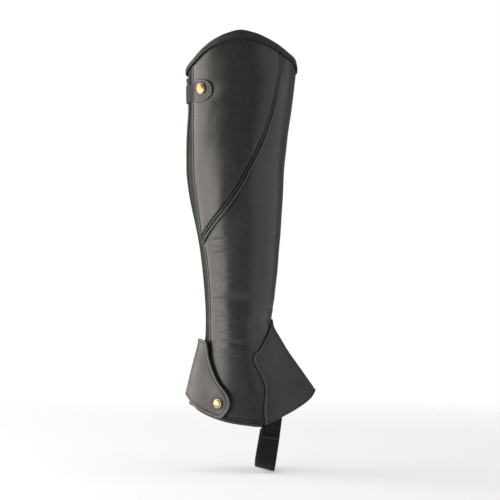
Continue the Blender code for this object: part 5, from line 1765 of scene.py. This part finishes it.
# Stitching on the strap: a row across the lap on each side, and the crossed box under the instep's edge.
points, faces = [], []
for end in (0, 1):
    k = 1 if end == 0 else len(centre) - 2
    c, t = centre[k], run[k]
    wide_way = wall_way * np.array([1, -1 if c[1] > 0 else 1, 1])
    way = wide_way - t * np.dot(wide_way, t)
    way /= np.linalg.norm(way)
    out = np.cross(t, way)
    out *= -1 if out[1] * c[1] < 0 else 1
    line = [c + way * x + out * (STRAP_T / 2 + 0.05) for x in np.linspace(-STRAP_W / 2 + 1.0, STRAP_W / 2 - 1.0, 12)]
    more, more_faces = thread_row(line, [out] * 12)
    faces += [[i + len(points) for i in f] for f in more_faces]
    points += more
points = np.array(points)
own = points[:30]
if volume_sign(own - own.mean(0), [f for f in faces[:26]]) < 0:
    faces = [f[::-1] for f in faces]
make("stitching_strap", points, faces, [THREAD_LIGHT_MAT])

box_rows = []
for sign in (1, -1):
    corners = {k: place(x, z, TAB_FACE) for k, (x, z) in {"a": (28.5, -334.4), "b": (42.4, -328.8), "c": (41.8, -336.2), "e": (27.8, -339.4)}.items()}
    for a, b in (("a", "b"), ("b", "c"), ("c", "e"), ("e", "a"), ("a", "c"), ("b", "e")):
        t = np.linspace(0, 1, 14)[:, None]
        row = np.array(corners[a]) * (1 - t) + np.array(corners[b]) * t
        box_rows.append(with_height(row * np.array([sign, 1.0]), TAB_FACE + 0.12))
stitches("stitching_strap_box", box_rows, pitch=2.4, length=1.9, radius=0.30)

# ---- floor, lights and camera ----
low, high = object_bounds()
floor_mesh = bpy.data.meshes.new("floor")
size = 30.0
z = low[2] - 0.0004
floor_mesh.from_pydata([(-size, -size, z), (size, -size, z), (size, size, z), (-size, size, z)], [], [(0, 1, 2, 3)])
floor = bpy.data.objects.new("floor", floor_mesh)
bpy.context.scene.collection.objects.link(floor)
floor_material, tree, shader, node = new_material("floor_white")
shader.inputs["Base Color"].default_value = (0.9, 0.9, 0.9, 1)
shader.inputs["Roughness"].default_value = 0.9
shader.inputs["Specular IOR Level"].default_value = 0.0
shader.inputs["Emission Color"].default_value = (1, 1, 1, 1)
shader.inputs["Emission Strength"].default_value = 0.385
# The floor fades out into the white backdrop.
away = node("ShaderNodeVectorMath", operation="LENGTH")
tree.links.new(node("ShaderNodeTexCoord").outputs["Object"], away.inputs[0])
fade = node("ShaderNodeMapRange", interpolation_type="SMOOTHSTEP")
for i, value in enumerate((0.5, 1.3, 1.0, 0.0)):
    fade.inputs[i + 1].default_value = value
tree.links.new(away.outputs["Value"], fade.inputs[0])
tree.links.new(fade.outputs[0], shader.inputs["Alpha"])
floor_mesh.materials.append(floor_material)


def softbox(name, azimuth, elevation, distance, width, height, radiance, colour=(1, 1, 1), aim=(0.01, 0.0, -0.15)):
    """A soft area light. Azimuth 0 is behind the camera and 90 is on the toe side."""
    light = bpy.data.lights.new(name, "AREA")
    light.shape, light.size, light.size_y = "RECTANGLE", width, height
    light.energy = radiance * math.pi * width * height
    light.color = colour
    obj = bpy.data.objects.new(name, light)
    a, e = math.radians(azimuth), math.radians(elevation)
    away = np.array([math.sin(a) * math.cos(e), -math.cos(a) * math.cos(e), math.sin(e)])
    obj.location = tuple(np.array(aim) + away * distance)
    from mathutils import Vector

    obj.rotation_euler = Vector(tuple(away)).to_track_quat("Z", "Y").to_euler()
    obj.visible_camera = False
    bpy.context.scene.collection.objects.link(obj)
    return obj


softbox("left_box", -104, 4, 1.7, 1.9, 1.9, 3.25, (1.0, 0.955, 0.905))
softbox("left_low_box", -60, -9, 0.9, 0.54, 0.53, 4.6, (1.0, 0.955, 0.905))
softbox("right_box", 80, 4, 2.2, 3.8, 2.0, 0.72)
softbox("top_box", 0, 84, 2.2, 2.0, 2.0, 1.0)

world = bpy.data.worlds.new("studio")
bpy.context.scene.world = world
world.use_nodes = True
tree = world.node_tree
back = tree.nodes["Background"]
back.inputs["Color"].default_value = (1.0, 1.0, 1.0, 1)
back.inputs["Strength"].default_value = 0.16
seen = tree.nodes.new("ShaderNodeBackground")
seen.inputs["Color"].default_value = (1.0, 1.0, 1.0, 1)
seen.inputs["Strength"].default_value = 1.0
path_node = tree.nodes.new("ShaderNodeLightPath")
mix = tree.nodes.new("ShaderNodeMixShader")
tree.links.new(path_node.outputs["Is Camera Ray"], mix.inputs[0])
tree.links.new(back.outputs[0], mix.inputs[1])
tree.links.new(seen.outputs[0], mix.inputs[2])
tree.links.new(mix.outputs[0], tree.nodes["World Output"].inputs["Surface"])

camera = bpy.data.cameras.new("camera")
camera.lens, camera.sensor_width = 162.1, 36.0
camera_object = bpy.data.objects.new("camera", camera)
camera_object.location = (0.01066, -2.4, -0.14924)
camera_object.rotation_euler = (math.pi / 2, 0, 0)
bpy.context.scene.collection.objects.link(camera_object)
bpy.context.scene.camera = camera_object
bpy.context.scene.view_settings.view_transform = "Standard"

print("triangles", sum(triangles.values()), sorted(triangles.items(), key=lambda k: -k[1])[:8])
print("cuts", json.dumps(cuts))
